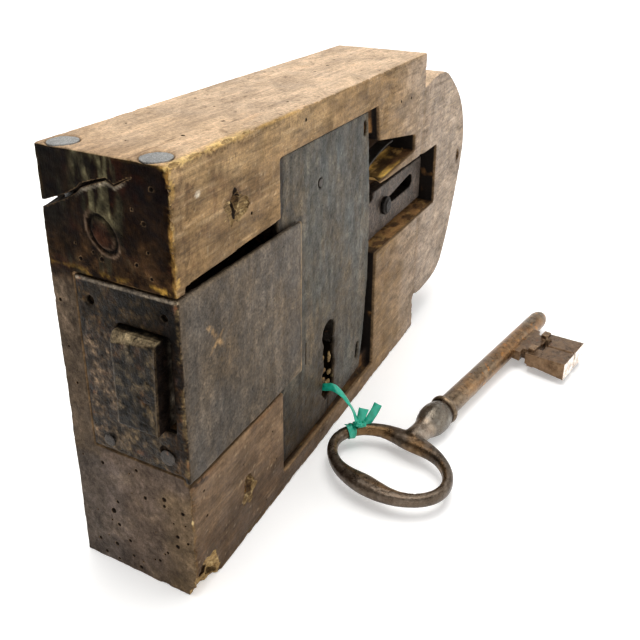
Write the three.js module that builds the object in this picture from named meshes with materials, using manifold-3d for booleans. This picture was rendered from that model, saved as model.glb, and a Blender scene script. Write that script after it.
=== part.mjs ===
// Wooden stock lock with an iron forend, a cover plate, a sliding deadbolt and its key.
// Lock coordinates while modelling, in millimetres: x runs from the forend end face along the
// lock, y from the plate face into the wood, z up from the long edge that the lock stands on.
// The last lines move everything so that the origin is the bottom centre of the whole object.
import * as THREE from "three";
import { mergeVertices } from "three/addons/utils/BufferGeometryUtils.js";
import Module from "manifold-3d";

const wasm = await Module();
wasm.setup();

// ---------------------------------------------------------------- driving dimensions
const H = 150;              // width of the lock, which is its standing height
const T = 47.7;             // thickness of the wood
const L_BLOCK = 199.5;      // length of the full-height block
const L_TOTAL = 273.3;      // length to the end of the rounded tongue
const GAP = 0.3;            // clearance between pieces that touch

const LEAF_T = 1.8;         // forend sheet thickness
const LEAF_LEN = 72.6;      // face leaf length
const COVER_Y0 = 2.1;       // front surface of the cover plate
const COVER_Y1 = 3.6;       // its back surface
const CAV_Y = 31;           // depth of the main cavity

const KEY_X = 99.5;         // key axis in the keyhole
const KEY_Z = 47.8;
const BIT_REACH = 30.5;

const BOLT_OUT = 4.2;       // the withdrawn bolt stands this much proud
const BOLT_Y0 = 4.3, BOLT_Y1 = 22.7;
const BOLT_Z0 = 65.3, BOLT_Z1 = 97.3;
const TAIL_Y0 = 7.1, TAIL_Y1 = 13.1;
const TAIL_Z0 = 68.5, TAIL_Z1 = 91.6;
const TAIL_END = 219.5;
const THROW = 35;           // bolt travel between its two stop notches
const NOTCH_X = 116;        // stop notch that holds the withdrawn bolt
const STUD_X = 168, STUD_Z = 81;

const KEY_Z0 = 7.2;         // height of the key's axis above the resting surface
const BOW_X = 82.5, BOW_Y = -33.5;
const KEY_TURN = -11.5;     // degrees, heading of the key's shank from +x

// ---------------------------------------------------------------- helpers
function solid(geo) {
  const g = geo.index ? geo.toNonIndexed() : geo.clone();
  g.deleteAttribute("normal");
  g.deleteAttribute("uv");
  const m = mergeVertices(g, 1e-4);
  return new wasm.Manifold(new wasm.Mesh({
    numProp: 3,
    vertProperties: new Float32Array(m.attributes.position.array),
    triVerts: new Uint32Array(m.index.array),
  }));
}
function geometry(man) {
  const mesh = man.getMesh();
  const g = new THREE.BufferGeometry();
  const n = mesh.vertProperties.length / mesh.numProp;
  const pos = new Float32Array(n * 3);
  for (let i = 0; i < n; i++) for (let k = 0; k < 3; k++) pos[3 * i + k] = mesh.vertProperties[mesh.numProp * i + k];
  g.setAttribute("position", new THREE.BufferAttribute(pos, 3));
  g.setIndex(new THREE.BufferAttribute(new Uint32Array(mesh.triVerts), 1));
  g.computeVertexNormals();
  return g;
}
const box = (x0, x1, y0, y1, z0, z1) => {
  const g = new THREE.BoxGeometry(x1 - x0, y1 - y0, z1 - z0);
  g.translate((x0 + x1) / 2, (y0 + y1) / 2, (z0 + z1) / 2);
  return solid(g);
};
const cylY = (x, z, r, y0, y1, n = 16, r2 = r) => { // r at y1, r2 at y0
  const g = new THREE.CylinderGeometry(r, r2, y1 - y0, n);
  g.translate(x, (y0 + y1) / 2, z);
  return solid(g);
};
const cylX = (y, z, r, x0, x1, n = 16, r2 = r) => { // r at x0, r2 at x1
  const g = new THREE.CylinderGeometry(r, r2, x1 - x0, n);
  g.rotateZ(Math.PI / 2);
  g.translate((x0 + x1) / 2, y, z);
  return solid(g);
};
const cylZ = (x, y, r, z0, z1, n = 16, r2 = r) => { // r at z1, r2 at z0
  const g = new THREE.CylinderGeometry(r, r2, z1 - z0, n);
  g.rotateX(Math.PI / 2);
  g.translate(x, y, (z0 + z1) / 2);
  return solid(g);
};
const shape = (pts) => new THREE.Shape(pts.map((p) => new THREE.Vector2(p[0], p[1])));
// outline in x and z, thickness in y
const slabY = (pts, y0, y1) => {
  const g = new THREE.ExtrudeGeometry(shape(pts), { depth: y1 - y0, bevelEnabled: false });
  g.rotateX(Math.PI / 2);
  g.translate(0, y1, 0);
  return solid(g);
};
// outline in y and z, length in x
const slabX = (pts, x0, x1) => {
  const g = new THREE.ExtrudeGeometry(shape(pts), { depth: x1 - x0, bevelEnabled: false });
  g.applyMatrix4(new THREE.Matrix4().makeBasis(new THREE.Vector3(0, 1, 0), new THREE.Vector3(0, 0, 1), new THREE.Vector3(1, 0, 0)));
  g.translate(x0, 0, 0);
  return solid(g);
};
const arc = (cx, cz, r, a0, a1, n) => {
  const out = [];
  for (let i = 0; i <= n; i++) {
    const a = THREE.MathUtils.degToRad(a0 + ((a1 - a0) * i) / n);
    out.push([cx + r * Math.cos(a), cz + r * Math.sin(a)]);
  }
  return out;
};
const union = (...s) => s.reduce((a, b) => a.add(b));
const cut = (a, ...s) => s.reduce((p, b) => p.subtract(b), a);
const mats = {
  wood: new THREE.MeshStandardMaterial({ color: 0x9a8263, roughness: 0.8, metalness: 0 }),
  iron: new THREE.MeshStandardMaterial({ color: 0x645c52, roughness: 0.55, metalness: 0.8 }),
  plate: new THREE.MeshStandardMaterial({ color: 0x6a665e, roughness: 0.5, metalness: 0.8 }),
  rust: new THREE.MeshStandardMaterial({ color: 0x4a3f36, roughness: 0.7, metalness: 0.6 }),
  key: new THREE.MeshStandardMaterial({ color: 0x84705a, roughness: 0.45, metalness: 0.9 }),
  ribbon: new THREE.MeshStandardMaterial({ color: 0x149673, roughness: 0.35, metalness: 0 }),
};
const group = new THREE.Group();
function add(name, man, mat, parent = group) {
  const mesh = new THREE.Mesh(geometry(man), mats[mat]);
  mesh.name = name;
  parent.add(mesh);
  return mesh;
}

// ---------------------------------------------------------------- wood stock
const tongue = [
  [L_BLOCK, 19.5], [206, 17.6], [213.5, 16.8], [226, 17.0], [236, 18.2], [243.5, 21.8], [249.5, 29],
  [255, 38], [260, 47.5], [264.3, 57], [268.2, 66], [271.2, 75], [272.8, 82], [L_TOTAL, 88],
  [272.6, 94.5], [270.4, 101.5], [266.4, 109.5], [260, 117], [252.5, 123.3], [244.5, 128.8], [236, 133.8],
  [230.5, 135.6], [221, 136.2], [211, 135.2], [L_BLOCK, 132.6],
];
let stock = slabY([[0, 0], [L_BLOCK, 0], ...tongue, [L_BLOCK, H], [0, H]], 0, T);
stock = cut(stock,
  // seats of the forend's two leaves, with the open gap above the face leaf
  box(-1, LEAF_T + GAP, -1, 38.3, 48.4, 111.2),
  slabY([[-1, 45.9], [58, 45.1], [58, 114.8], [4, 113.4], [4, 111.2], [-1, 111.2]], -1, LEAF_T + GAP),
  // seat of the cover plate
  slabY([[57.5, 8.2], [143.9, 7.6], [143.6, 62.4], [143.0, 100], [143, 120.2], [140.6, 136.2], [57.5, 136.2]], -1, COVER_Y1 + GAP),
  // main cavity that the key's bit turns in
  slabY([[61, 15.5], [143.8, 15.5], [143.6, 62.4], [143.0, 100], [143, 120.2], [142.4, 123.5], [61, 123.5]], 1, CAV_Y),
  // bolt channel from the forend to the cavity, open above the face leaf
  slabY([[7, 60], [63, 60], [63, 114.9], [7, 113.5]], -1 + LEAF_T, 25),
  box(-1, 9, 3.8, 23.3, 64.5, 98.1),
  // tail window and spring pocket, joined where the thin strip between them is broken away
  slabY([[142, 66.6], [224.4, 65.0], [223.2, 98.0], [147, 99.9], [142, 101]], -1, 13.6),
  slabY([[142, 120.4], [142, 100.9], [147.5, 100.9], [188.9, 103.6], [188.7, 112.0], [143, 120.4]], -1, 14),
  // keyhole through the back wall
  cylY(KEY_X, KEY_Z, 5.4, CAV_Y - 1, T + 1, 20),
  box(KEY_X - 5, KEY_X + 5, CAV_Y - 1, T + 1, KEY_Z - BIT_REACH - 1, KEY_Z),
  // groove of the back ward ring
  cut(cylY(KEY_X, KEY_Z, 9.7, CAV_Y - 1, 35.6, 24), cylY(KEY_X, KEY_Z, 7.9, CAV_Y - 2, 36, 24)),
  // seats of the stud, spring pin, staple legs and ward bridge legs
  cylY(STUD_X, STUD_Z, 1.8, 12, 28.6, 12),
  cylY(91, 117, 1.9, CAV_Y - 1, 39.3, 12),
  box(75.7, 80.3, CAV_Y - 1, 42.3, 63.6, 67.8),
  box(75.7, 80.3, CAV_Y - 1, 42.3, 92.3, 96.5),
  box(64.2, 66.0, CAV_Y - 1, 40.3, 43.7, 52.3),
  box(133.2, 135.0, CAV_Y - 1, 40.3, 43.7, 52.3),
  // fixing holes that go right through, now empty
  cylY(29.8, 129.6, 1.8, -1, T + 1, 10),
  cylY(31.8, 20.1, 1.8, -1, T + 1, 10),
  cylY(263.4, 81.5, 1.8, -1, T + 1, 10),
  // nails that hold the forend's end leaf, and the empty holes above them
  cylX(30.8, 53.2, 1.6, 0, 26.4, 10), cylX(7.6, 55.1, 1.6, 0, 26.4, 10),
  cylX(32.9, 103, 1.5, 0, 22, 10), cylX(5.4, 104, 1.2, 0, 22, 8),
  // clasp nails let into the top edge
  cylZ(5.4, 8.0, 5.0, 148.7, 151, 20), cylZ(5.4, 8.0, 1.8, 117, 149, 10),
  cylZ(5.4, 41.4, 5.0, 148.7, 151, 20), cylZ(5.4, 41.4, 1.8, 117, 149, 10),
);
add("wood_stock", stock, "wood");

// ---------------------------------------------------------------- forend plate, one bent sheet
let forend = union(
  box(0, LEAF_T, 0, 38, 49, 110.6),
  slabY([[0, 46.8], [LEAF_LEN, 45.6], [LEAF_LEN, 108.7], [0, 110.8]], 0, LEAF_T),
);
forend = cut(forend,
  box(-1, 3, 3.9, 23.2, 64.6, 98.0),
  cylX(30.8, 53.2, 1.6, -1, 3, 10), cylX(7.6, 55.1, 1.6, -1, 3, 10),
  cylX(32.9, 103, 1.6, -1, 3, 10), cylX(5.4, 104, 1.3, -1, 3, 8),
);
add("forend_plate", forend, "iron");

// ---------------------------------------------------------------- cover plate with the worn keyhole
const keyhole = [
  [95.2, 43.6], [94.6, 38.4], [96.2, 34.0], [94.2, 29.5], [94.7, 24.8], [93.9, 20.6], [96.4, 17.0],
  [102.2, 16.6], [104.6, 20.0], [104.2, 26.4], [105.3, 31.4], [103.6, 36.6], [104.6, 41.0], [103.8, 44.0],
];
let cover = slabY([[58.5, 9.2], [95, 8.7], [132.4, 12.4], [136, 30], [139.3, 56], [139.6, 72.6], [138.4, 100], [134.6, 135], [58.5, 135.2]], COVER_Y0, COVER_Y1);
cover = cut(cover,
  cylY(KEY_X, KEY_Z, 5.6, 0, 5, 20),
  slabY(keyhole, 0, 5),
  cylY(91, 117, 1.9, 0, 5, 12),
  slabY(arc(131.6, 130.2, 1.5, 0, 180, 6).concat(arc(131.6, 126.6, 1.5, 180, 360, 6)), 0, 5),
  slabY(arc(129.8, 25.6, 1.5, 0, 180, 6).concat(arc(129.0, 20.2, 1.5, 180, 360, 6)), 0, 5),
);
add("cover_plate", cover, "plate");

// ---------------------------------------------------------------- deadbolt: head, bar and slotted tail
let bolt = union(
  box(-BOLT_OUT, 27, BOLT_Y0, BOLT_Y1, BOLT_Z0, BOLT_Z1),
  box(26, TAIL_END, TAIL_Y0, TAIL_Y1, TAIL_Z0, TAIL_Z1),
  slabY([[26, TAIL_Z0 - 0.01], [26, BOLT_Z0], [30, TAIL_Z0 - 0.01]].reverse(), TAIL_Y0, TAIL_Y1),
);
const notch = (x) => slabY([[x - 5, TAIL_Z1 + 1], [x - 2.4, 87.9], [x + 2.4, 87.9], [x + 5, TAIL_Z1 + 1]], TAIL_Y0 - 1, TAIL_Y1 + 1);
bolt = cut(bolt,
  // talon that the key's bit pushes
  slabY([[111.8, 60], [124.6, 60], [124.6, 77], [122.6, 79.4], [113.8, 79.4], [111.8, 77]], TAIL_Y0 - 1, TAIL_Y1 + 1),
  notch(NOTCH_X), notch(NOTCH_X + THROW),
  // slot that rides on the stud, a little wider at its far end
  slabY([[165.9, 79.0], [203.8, 79.0], [206.2, 80.4], [207.0, 82.9], [205.8, 85.2], [203.2, 86.1], [199.0, 85.7], [177, 82.9], [165.9, 82.9], [165.2, 81.0]], TAIL_Y0 - 1, TAIL_Y1 + 1),
);
// worked edges of the head's outer face
bolt = cut(bolt, slabX([[2, BOLT_Z1 - 1.4], [24, BOLT_Z1 - 1.4], [24, BOLT_Z1 + 2], [2, BOLT_Z1 + 2]], -BOLT_OUT - 1, -BOLT_OUT + 0.9));
add("deadbolt", bolt, "rust");

// ---------------------------------------------------------------- guide stud
add("guide_stud", union(
  cylY(STUD_X, STUD_Z, 4.6, 5.0, TAIL_Y0 - GAP, 20),
  cylY(STUD_X, STUD_Z, 3.4, 4.2, 5.2, 20),
  cylY(STUD_X, STUD_Z, 1.5, 6.5, 28, 12),
), "rust");

// ---------------------------------------------------------------- bowed leaf spring and its pin
const leaf = [[91, 113.9], [96, 113.2], [102, 107.6], [108, 101.0], [112.5, 97.0], [116, 95.6], [121, 96.2], [130, 99.4], [140, 103.2], [150, 106.7], [160, 109.3], [168, 110.6], [175.5, 110.9]];
const leafT = 0.9;
const up = leaf.map(([x, z], i) => {
  const a = leaf[Math.max(0, i - 1)], b = leaf[Math.min(leaf.length - 1, i + 1)];
  const dx = b[0] - a[0], dz = b[1] - a[1], l = Math.hypot(dx, dz);
  return [x - (dz / l) * leafT, z + (dx / l) * leafT];
});
let spring = union(
  slabY([...leaf, ...up.reverse()], 6.6, 12.6),
  cylY(91, 117, 3.1, 6.6, 12.6, 18),
  slabY([[113.6, 96.4], [114.6, 89.4], [117.4, 89.4], [118.4, 96.4]], 7.4, 12.4),
);
spring = cut(spring, cylY(91, 117, 1.9, 6, 13, 14));
add("tumbler_spring", spring, "iron");
add("spring_pin", cylY(91, 117, 1.6, COVER_Y0, 38.8, 12), "iron");

// ---------------------------------------------------------------- staple that the bolt's bar slides through
add("bolt_staple", union(
  box(76, 80, 4.4, 6.6, 64, 96.1),
  box(76, 80, 4.4, 41.8, 64, 67.5),
  box(76, 80, 4.4, 41.8, 92.6, 96.1),
), "rust");

// ---------------------------------------------------------------- ward bridge and ward rings round the key axis
let bridge = union(
  cylY(KEY_X, KEY_Z, 22, 16.9, 17.8, 32),
  box(64.5, 134.7, 16.9, 17.8, 41, 55),
  cylY(KEY_X, KEY_Z, 15.3, 12.8, 22.0, 32),
  box(64.5, 65.7, 16.9, 40, 44, 52),
  box(133.5, 134.7, 16.9, 40, 44, 52),
);
bridge = cut(bridge, cylY(KEY_X, KEY_Z, 14.1, 10, 24, 32), box(KEY_X - 5.1, KEY_X + 5.1, 10, 24, KEY_Z - 40, KEY_Z));
add("ward_bridge", bridge, "iron");
const wardRing = (y0, y1) => cut(cylY(KEY_X, KEY_Z, 9.3, y0, y1, 24), cylY(KEY_X, KEY_Z, 8.3, y0 - 1, y1 + 1, 24), box(KEY_X - 5.1, KEY_X + 5.1, y0 - 1, y1 + 1, KEY_Z - 20, KEY_Z));
add("ward_ring_front", wardRing(COVER_Y1 + GAP, 7.6), "iron");
add("ward_ring_back", wardRing(26.9, 35.2), "iron");

// ---------------------------------------------------------------- nails
const faceNail = (y, z) => union(cylX(y, z, 3.2, -1.5, -0.9, 14, 4.0), cylX(y, z, 4.0, -0.95, -GAP, 14), cylX(y, z, 1.3, -0.5, 26, 10));
add("forend_nail_lower_back", faceNail(30.8, 53.2), "rust");
add("forend_nail_lower_front", faceNail(7.6, 55.1), "rust");
const topNail = (x, y) => union(cylZ(x, y, 4.7, 149.0, H, 20), cylZ(x, y, 1.5, 118, 149.5, 10));
add("top_nail_front", topNail(5.4, 8.0), "iron");
add("top_nail_back", topNail(5.4, 41.4), "iron");

// ---------------------------------------------------------------- key, one forging, lying flat
// local frame: +x along the shank from the bow's centre, -y towards the bit, z up
const keyGroup = new THREE.Group();
keyGroup.position.set(BOW_X, BOW_Y, KEY_Z0);
keyGroup.rotation.z = THREE.MathUtils.degToRad(KEY_TURN);
group.add(keyGroup);
// bow: an oval ring, thicker at the middle of both long sides
const bowGeo = new THREE.TorusGeometry(10, 1, 10, 44);
{
  const p = bowGeo.attributes.position;
  for (let i = 0; i < p.count; i++) {
    const a = Math.atan2(p.getY(i), p.getX(i));
    const rr = Math.hypot(p.getX(i), p.getY(i)) - 10, zz = p.getZ(i);
    const side = Math.pow(Math.abs(Math.cos(a)), 6);           // 1 at the near and far sides
    const w = 2.35 + 1.5 * side, h = 2.6 + 0.5 * side;          // half width and half height
    const A = 17.6 - 1.4 * side, B = 24.9;
    const cx = A * Math.cos(a), cy = B * Math.sin(a);
    let nx = Math.cos(a) / A, ny = Math.sin(a) / B;
    const l = Math.hypot(nx, ny); nx /= l; ny /= l;
    p.setXYZ(i, cx + nx * rr * w, cy + ny * rr * w, zz * h);
  }
}
const bow = solid(bowGeo);
// shank, collar, ball and neck turned about the local x axis
const profile = [
  [0, 16.2], [3.7, 16.2], [4.6, 19], [4.7, 22], [4.5, 25], [4.9, 27.2], [6.2, 29.2], [6.9, 32], [7.0, 35], [6.9, 38], [6.2, 41.2], [5.9, 42.2],
  [6.3, 43.0], [6.6, 44.2], [6.3, 45.4], [5.0, 46.2], [4.7, 50], [4.6, 90], [4.6, 140], [4.45, 145], [3.9, 148.2], [2.6, 150.4], [0, 151.2],
];
const turned = new THREE.LatheGeometry(profile.map((q) => new THREE.Vector2(q[0], q[1])), 20);
turned.rotateZ(-Math.PI / 2);
const stem = solid(turned);
// bit: a flag that thickens towards its outer edge
const BU0 = 105.5, BU1 = 131;
let bit = slabX([[-30.5, -4.4], [-3, -2.3], [-3, 2.3], [-30.5, 4.4]], BU0, BU1);
bit = union(bit,
  box(BU0 + 2.2, BU0 + 7.2, -14.2, -10.8, -5.2, 5.2),
  box(BU1 - 7.2, BU1 - 2.2, -14.2, -10.8, -5.2, 5.2),
);
bit = cut(bit,
  box(117.6, 119.2, -40, -13.0, -9, 9),            // clears the ward bridge
  box(112.8, 124.6, -16.4, -13.4, -9, 9),           // clears the bridge's ring
  box(BU0 - 1, BU0 + 4.0, -10.6, -7.6, -9, 9),      // clears the front ward ring
  box(BU1 - 4.0, BU1 + 1, -10.6, -7.6, -9, 9),      // clears the back ward ring
);
// the bow's far side is worked down where the neck runs into it
add("key", union(bow, stem, bit), "key", keyGroup);

// ---------------------------------------------------------------- ribbon that ties the key to the keyhole
const KNOT = [93.9, -13.4, 12.6];
const strandPts = [
  [98.3, 13.6, 19.6], [98.4, 9.8, 21.2], [98.5, 6.2, 22.4], [98.6, 2.8, 23.2], [98.5, 0.2, 23.9], [98.3, -2.6, 24.4], [97.9, -5.6, 24.0], [97.3, -8.2, 22.2], [96.5, -10.2, 19.5], [95.6, -11.6, 16.9], [94.9, -12.4, 15.2],
].map((q) => new THREE.Vector3(...q));
const ribbonR = 1.4;
function tube(pts, steps, r, n) {
  const s = new THREE.Shape();
  for (let i = 0; i < n; i++) {
    const a = (2 * Math.PI * i) / n;
    if (i) s.lineTo(r * Math.cos(a), r * Math.sin(a)); else s.moveTo(r, 0);
  }
  return solid(new THREE.ExtrudeGeometry(s, { steps, bevelEnabled: false, extrudePath: new THREE.CatmullRomCurve3(pts) }));
}
add("ribbon_strand", tube(strandPts, 14, ribbonR, 8), "ribbon");
const knotGeo = new THREE.SphereGeometry(1, 12, 8);
knotGeo.scale(2.6, 2.2, 1.9);
knotGeo.translate(...KNOT);
add("ribbon_knot", solid(knotGeo), "ribbon");
add("ribbon_tail_a", tube([[97.6, -15.2, 12.2], [99.8, -16.2, 14.8], [102.2, -17.2, 18.0]].map((q) => new THREE.Vector3(...q)), 4, 1.2, 8), "ribbon");
add("ribbon_tail_b", tube([[98.1, -12.5, 12.6], [99.2, -12.0, 15.6], [100.4, -11.2, 18.6]].map((q) => new THREE.Vector3(...q)), 4, 1.1, 8), "ribbon");

// ---------------------------------------------------------------- origin at the bottom centre of the whole object
group.updateMatrixWorld(true);
const bounds = new THREE.Box3();
group.traverse((o) => {
  if (o.isMesh && !o.name.startsWith("ribbon")) {
    const g = o.geometry.clone().applyMatrix4(o.matrixWorld);
    g.computeBoundingBox();
    bounds.union(g.boundingBox);
  }
});
const mid = bounds.getCenter(new THREE.Vector3());
group.position.set(-mid.x, -mid.y, -bounds.min.z);
group.updateMatrixWorld(true);

export default group;
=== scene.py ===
# Wooden stock lock with key: the looks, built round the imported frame.
import math

import bmesh
import bpy
import numpy as np
from mathutils import Matrix, Vector


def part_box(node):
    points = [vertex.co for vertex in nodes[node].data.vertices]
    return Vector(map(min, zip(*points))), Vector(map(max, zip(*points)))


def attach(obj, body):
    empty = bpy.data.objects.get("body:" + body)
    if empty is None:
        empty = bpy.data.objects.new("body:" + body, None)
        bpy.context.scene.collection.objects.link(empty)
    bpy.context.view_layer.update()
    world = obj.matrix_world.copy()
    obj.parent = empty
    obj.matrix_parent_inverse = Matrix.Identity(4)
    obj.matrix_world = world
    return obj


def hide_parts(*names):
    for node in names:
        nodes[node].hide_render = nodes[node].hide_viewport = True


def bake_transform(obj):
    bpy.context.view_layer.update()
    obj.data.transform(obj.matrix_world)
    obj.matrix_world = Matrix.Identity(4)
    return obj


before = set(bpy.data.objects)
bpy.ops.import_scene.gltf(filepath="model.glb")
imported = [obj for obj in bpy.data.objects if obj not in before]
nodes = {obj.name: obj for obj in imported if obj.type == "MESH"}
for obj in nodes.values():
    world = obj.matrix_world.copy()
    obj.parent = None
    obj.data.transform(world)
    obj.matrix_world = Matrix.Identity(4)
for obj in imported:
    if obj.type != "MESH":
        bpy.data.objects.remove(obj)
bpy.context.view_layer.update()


scene = bpy.context.scene
MM = 0.001
_lo, _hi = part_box("wood_stock")
OX, OY = _lo.x / MM, (_hi.y / MM) - 47.7  # lock coordinates to row coordinates, in mm


def W(x, y, z):
    return Vector(((x + OX) * MM, (y + OY) * MM, z * MM))


# ------------------------------------------------------------------ camera and light
CAM = (-142.28, -115.857, 209.037)
AZ, EL, ROLL, FOCAL = 26.89, 21.35, 0.47, 738.4
az, el, ro = (math.radians(v) for v in (AZ, EL, ROLL))
d = Vector((math.cos(el) * math.cos(az), math.cos(el) * math.sin(az), -math.sin(el)))
r = d.cross(Vector((0, 0, 1))).normalized()
u = r.cross(d)
r2 = r * math.cos(ro) + u * math.sin(ro)
u2 = -r * math.sin(ro) + u * math.cos(ro)
cam_data = bpy.data.cameras.new("camera")
cam = bpy.data.objects.new("camera", cam_data)
scene.collection.objects.link(cam)
m = Matrix((r2, u2, -d)).transposed().to_4x4()
m.translation = W(*CAM)
cam.matrix_world = m
cam_data.sensor_width = 36
cam_data.lens = FOCAL / 640 * 36
cam_data.shift_y = -112 / 640
cam_data.clip_start = 0.01
scene.camera = cam

world = bpy.data.worlds.new("studio")
scene.world = world
world.use_nodes = True
world.node_tree.nodes["Background"].inputs[0].default_value = (1.0, 0.99, 0.975, 1)
world.node_tree.nodes["Background"].inputs[1].default_value = 0.36
scene.view_settings.view_transform = "Standard"


def area(name, at, to, size, power, color=(1, 1, 1)):
    l = bpy.data.lights.new(name, "AREA")
    l.shape, l.size, l.energy, l.color = "DISK", size, power, color
    o = bpy.data.objects.new(name, l)
    scene.collection.objects.link(o)
    o.location = at
    o.rotation_euler = (Vector(to) - Vector(at)).to_track_quat("-Z", "Y").to_euler()
    return o


sun = bpy.data.lights.new("skylight", "SUN")
sun.energy, sun.angle, sun.color = 2.35, math.radians(55), (1, 0.985, 0.96)
sun_o = bpy.data.objects.new("skylight", sun)
scene.collection.objects.link(sun_o)
sun_o.rotation_euler = Vector((-0.16, -0.10, -1)).to_track_quat("-Z", "Y").to_euler()
area("overhead", (0.10, 0.12, 1.05), (0, 0, 0.05), 0.5, 1.6, (1, 0.99, 0.97))
area("front_right", (0.45, -0.9, 0.55), (0, 0, 0.06), 0.8, 2.2, (1, 0.99, 0.98))
area("left_fill", (-0.9, -0.15, 0.5), (0, 0, 0.07), 0.7, 0.3, (0.98, 0.99, 1))


# ------------------------------------------------------------------ numbers: noise and mesh tools
def _hash(i, j, k, seed):
    n = (i.astype(np.uint32) * np.uint32(374761393) + j.astype(np.uint32) * np.uint32(668265263)
         + k.astype(np.uint32) * np.uint32(2246822519) + np.uint32((seed * 974634777) & 0xFFFFFFFF))
    n = (n ^ (n >> np.uint32(13))) * np.uint32(1274126177)
    n = n ^ (n >> np.uint32(16))
    return n.astype(np.float64) / 4294967295.0


def noise(p, scale, seed=1):
    """Value noise from -1 to 1. p in mm, scale in mm, one number or three."""
    q = p / np.array(scale, float)
    i = np.floor(q)
    f = q - i
    f = f * f * (3 - 2 * f)
    i = i.astype(np.int64)
    out = 0
    for a in (0, 1):
        for b in (0, 1):
            for c in (0, 1):
                w = ((f[:, 0] if a else 1 - f[:, 0]) * (f[:, 1] if b else 1 - f[:, 1]) * (f[:, 2] if c else 1 - f[:, 2]))
                out = out + w * _hash(i[:, 0] + a, i[:, 1] + b, i[:, 2] + c, seed)
    return out * 2 - 1


def fbm(p, scale, seed=1, octaves=4, gain=0.5):
    total, amp, norm = 0, 1.0, 0.0
    s = np.array(scale, float)
    for o in range(octaves):
        total = total + amp * noise(p, s, seed + 17 * o)
        norm += amp
        amp *= gain
        s = s / 2.03
    return total / norm


def step(x, a, b):
    t = np.clip((x - a) / (b - a), 0, 1)
    return t * t * (3 - 2 * t)


def coords(me):
    co = np.zeros(len(me.vertices) * 3)
    me.vertices.foreach_get("co", co)
    co = co.reshape(-1, 3) / MM
    return co - np.array([OX, OY, 0])  # lock coordinates, mm


def set_coords(me, p):
    me.vertices.foreach_set("co", ((p + np.array([OX, OY, 0])) * MM).astype(np.float32).ravel())
    me.update()


def normals(me):
    n = np.zeros(len(me.vertices) * 3, np.float32)
    me.vertices.foreach_get("normal", n)
    return n.reshape(-1, 3).astype(float)


def laplace(me, p, rounds, w=0.5, keep=None):
    e = np.zeros(len(me.edges) * 2, np.int32)
    me.edges.foreach_get("vertices", e)
    a, b = e[0::2], e[1::2]
    n = len(p)
    deg = np.bincount(a, minlength=n) + np.bincount(b, minlength=n)
    for _ in range(rounds):
        s = np.stack([np.bincount(a, p[b, k], n) + np.bincount(b, p[a, k], n) for k in range(3)], 1)
        q = s / np.maximum(deg, 1)[:, None]
        move = (q - p) * w
        if keep is not None:
            move *= keep[:, None]
        p = p + move
    return p


def link(o):
    scene.collection.objects.link(o)
    return o


def evaluated(o):
    dg = bpy.context.evaluated_depsgraph_get()
    return bpy.data.meshes.new_from_object(o.evaluated_get(dg))


def welded(me, dist=2e-6):
    bm = bmesh.new()
    bm.from_mesh(me)
    bmesh.ops.remove_doubles(bm, verts=bm.verts, dist=dist)
    bm.to_mesh(me)
    bm.free()
    return me


def remeshed(name, me, voxel):
    o = link(bpy.data.objects.new(name, me))
    mod = o.modifiers.new("r", "REMESH")
    mod.mode, mod.voxel_size, mod.adaptivity = "VOXEL", voxel * MM, 0
    new = evaluated(o)
    o.modifiers.clear()
    o.data = new
    new.name = name
    return o


def shade(o, smooth=True):
    o.data.polygons.foreach_set("use_smooth", np.full(len(o.data.polygons), smooth))
    return o


def cut(o, cutter):
    mod = o.modifiers.new("b", "BOOLEAN")
    mod.operation, mod.object, mod.solver = "DIFFERENCE", cutter, "MANIFOLD"
    if hasattr(mod, "material_mode"):
        mod.material_mode = "TRANSFER"
    new = evaluated(o)
    o.modifiers.clear()
    if len(new.polygons) > 0.5 * len(o.data.polygons):
        o.data = new
    else:
        print("boolean failed on", o.name)
    bpy.data.objects.remove(cutter)
    return o


def raw(name, verts, faces, mat=None, index=None):
    me = bpy.data.meshes.new(name)
    me.from_pydata([tuple((np.array(v) + np.array([OX, OY, 0])) * MM) for v in verts], [], faces)
    me.update()
    if mat:
        for x in mat if isinstance(mat, (list, tuple)) else [mat]:
            me.materials.append(x)
    if index is not None:
        me.polygons.foreach_set("material_index", np.array(index, np.int32))
    return me


def color_attribute(me, name, rgb):
    a = me.attributes.new(name, "FLOAT_COLOR", "POINT")
    c = np.ones((len(me.vertices), 4), np.float32)
    c[:, :3] = rgb
    a.data.foreach_set("color", c.ravel())


def float_attribute(me, name, v):
    a = me.attributes.new(name, "FLOAT", "POINT")
    a.data.foreach_set("value", np.asarray(v, np.float32))


def lin(*c):
    c = np.array(c, float) / 255
    return np.where(c <= 0.04045, c / 12.92, ((c + 0.055) / 1.055) ** 2.4)


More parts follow.
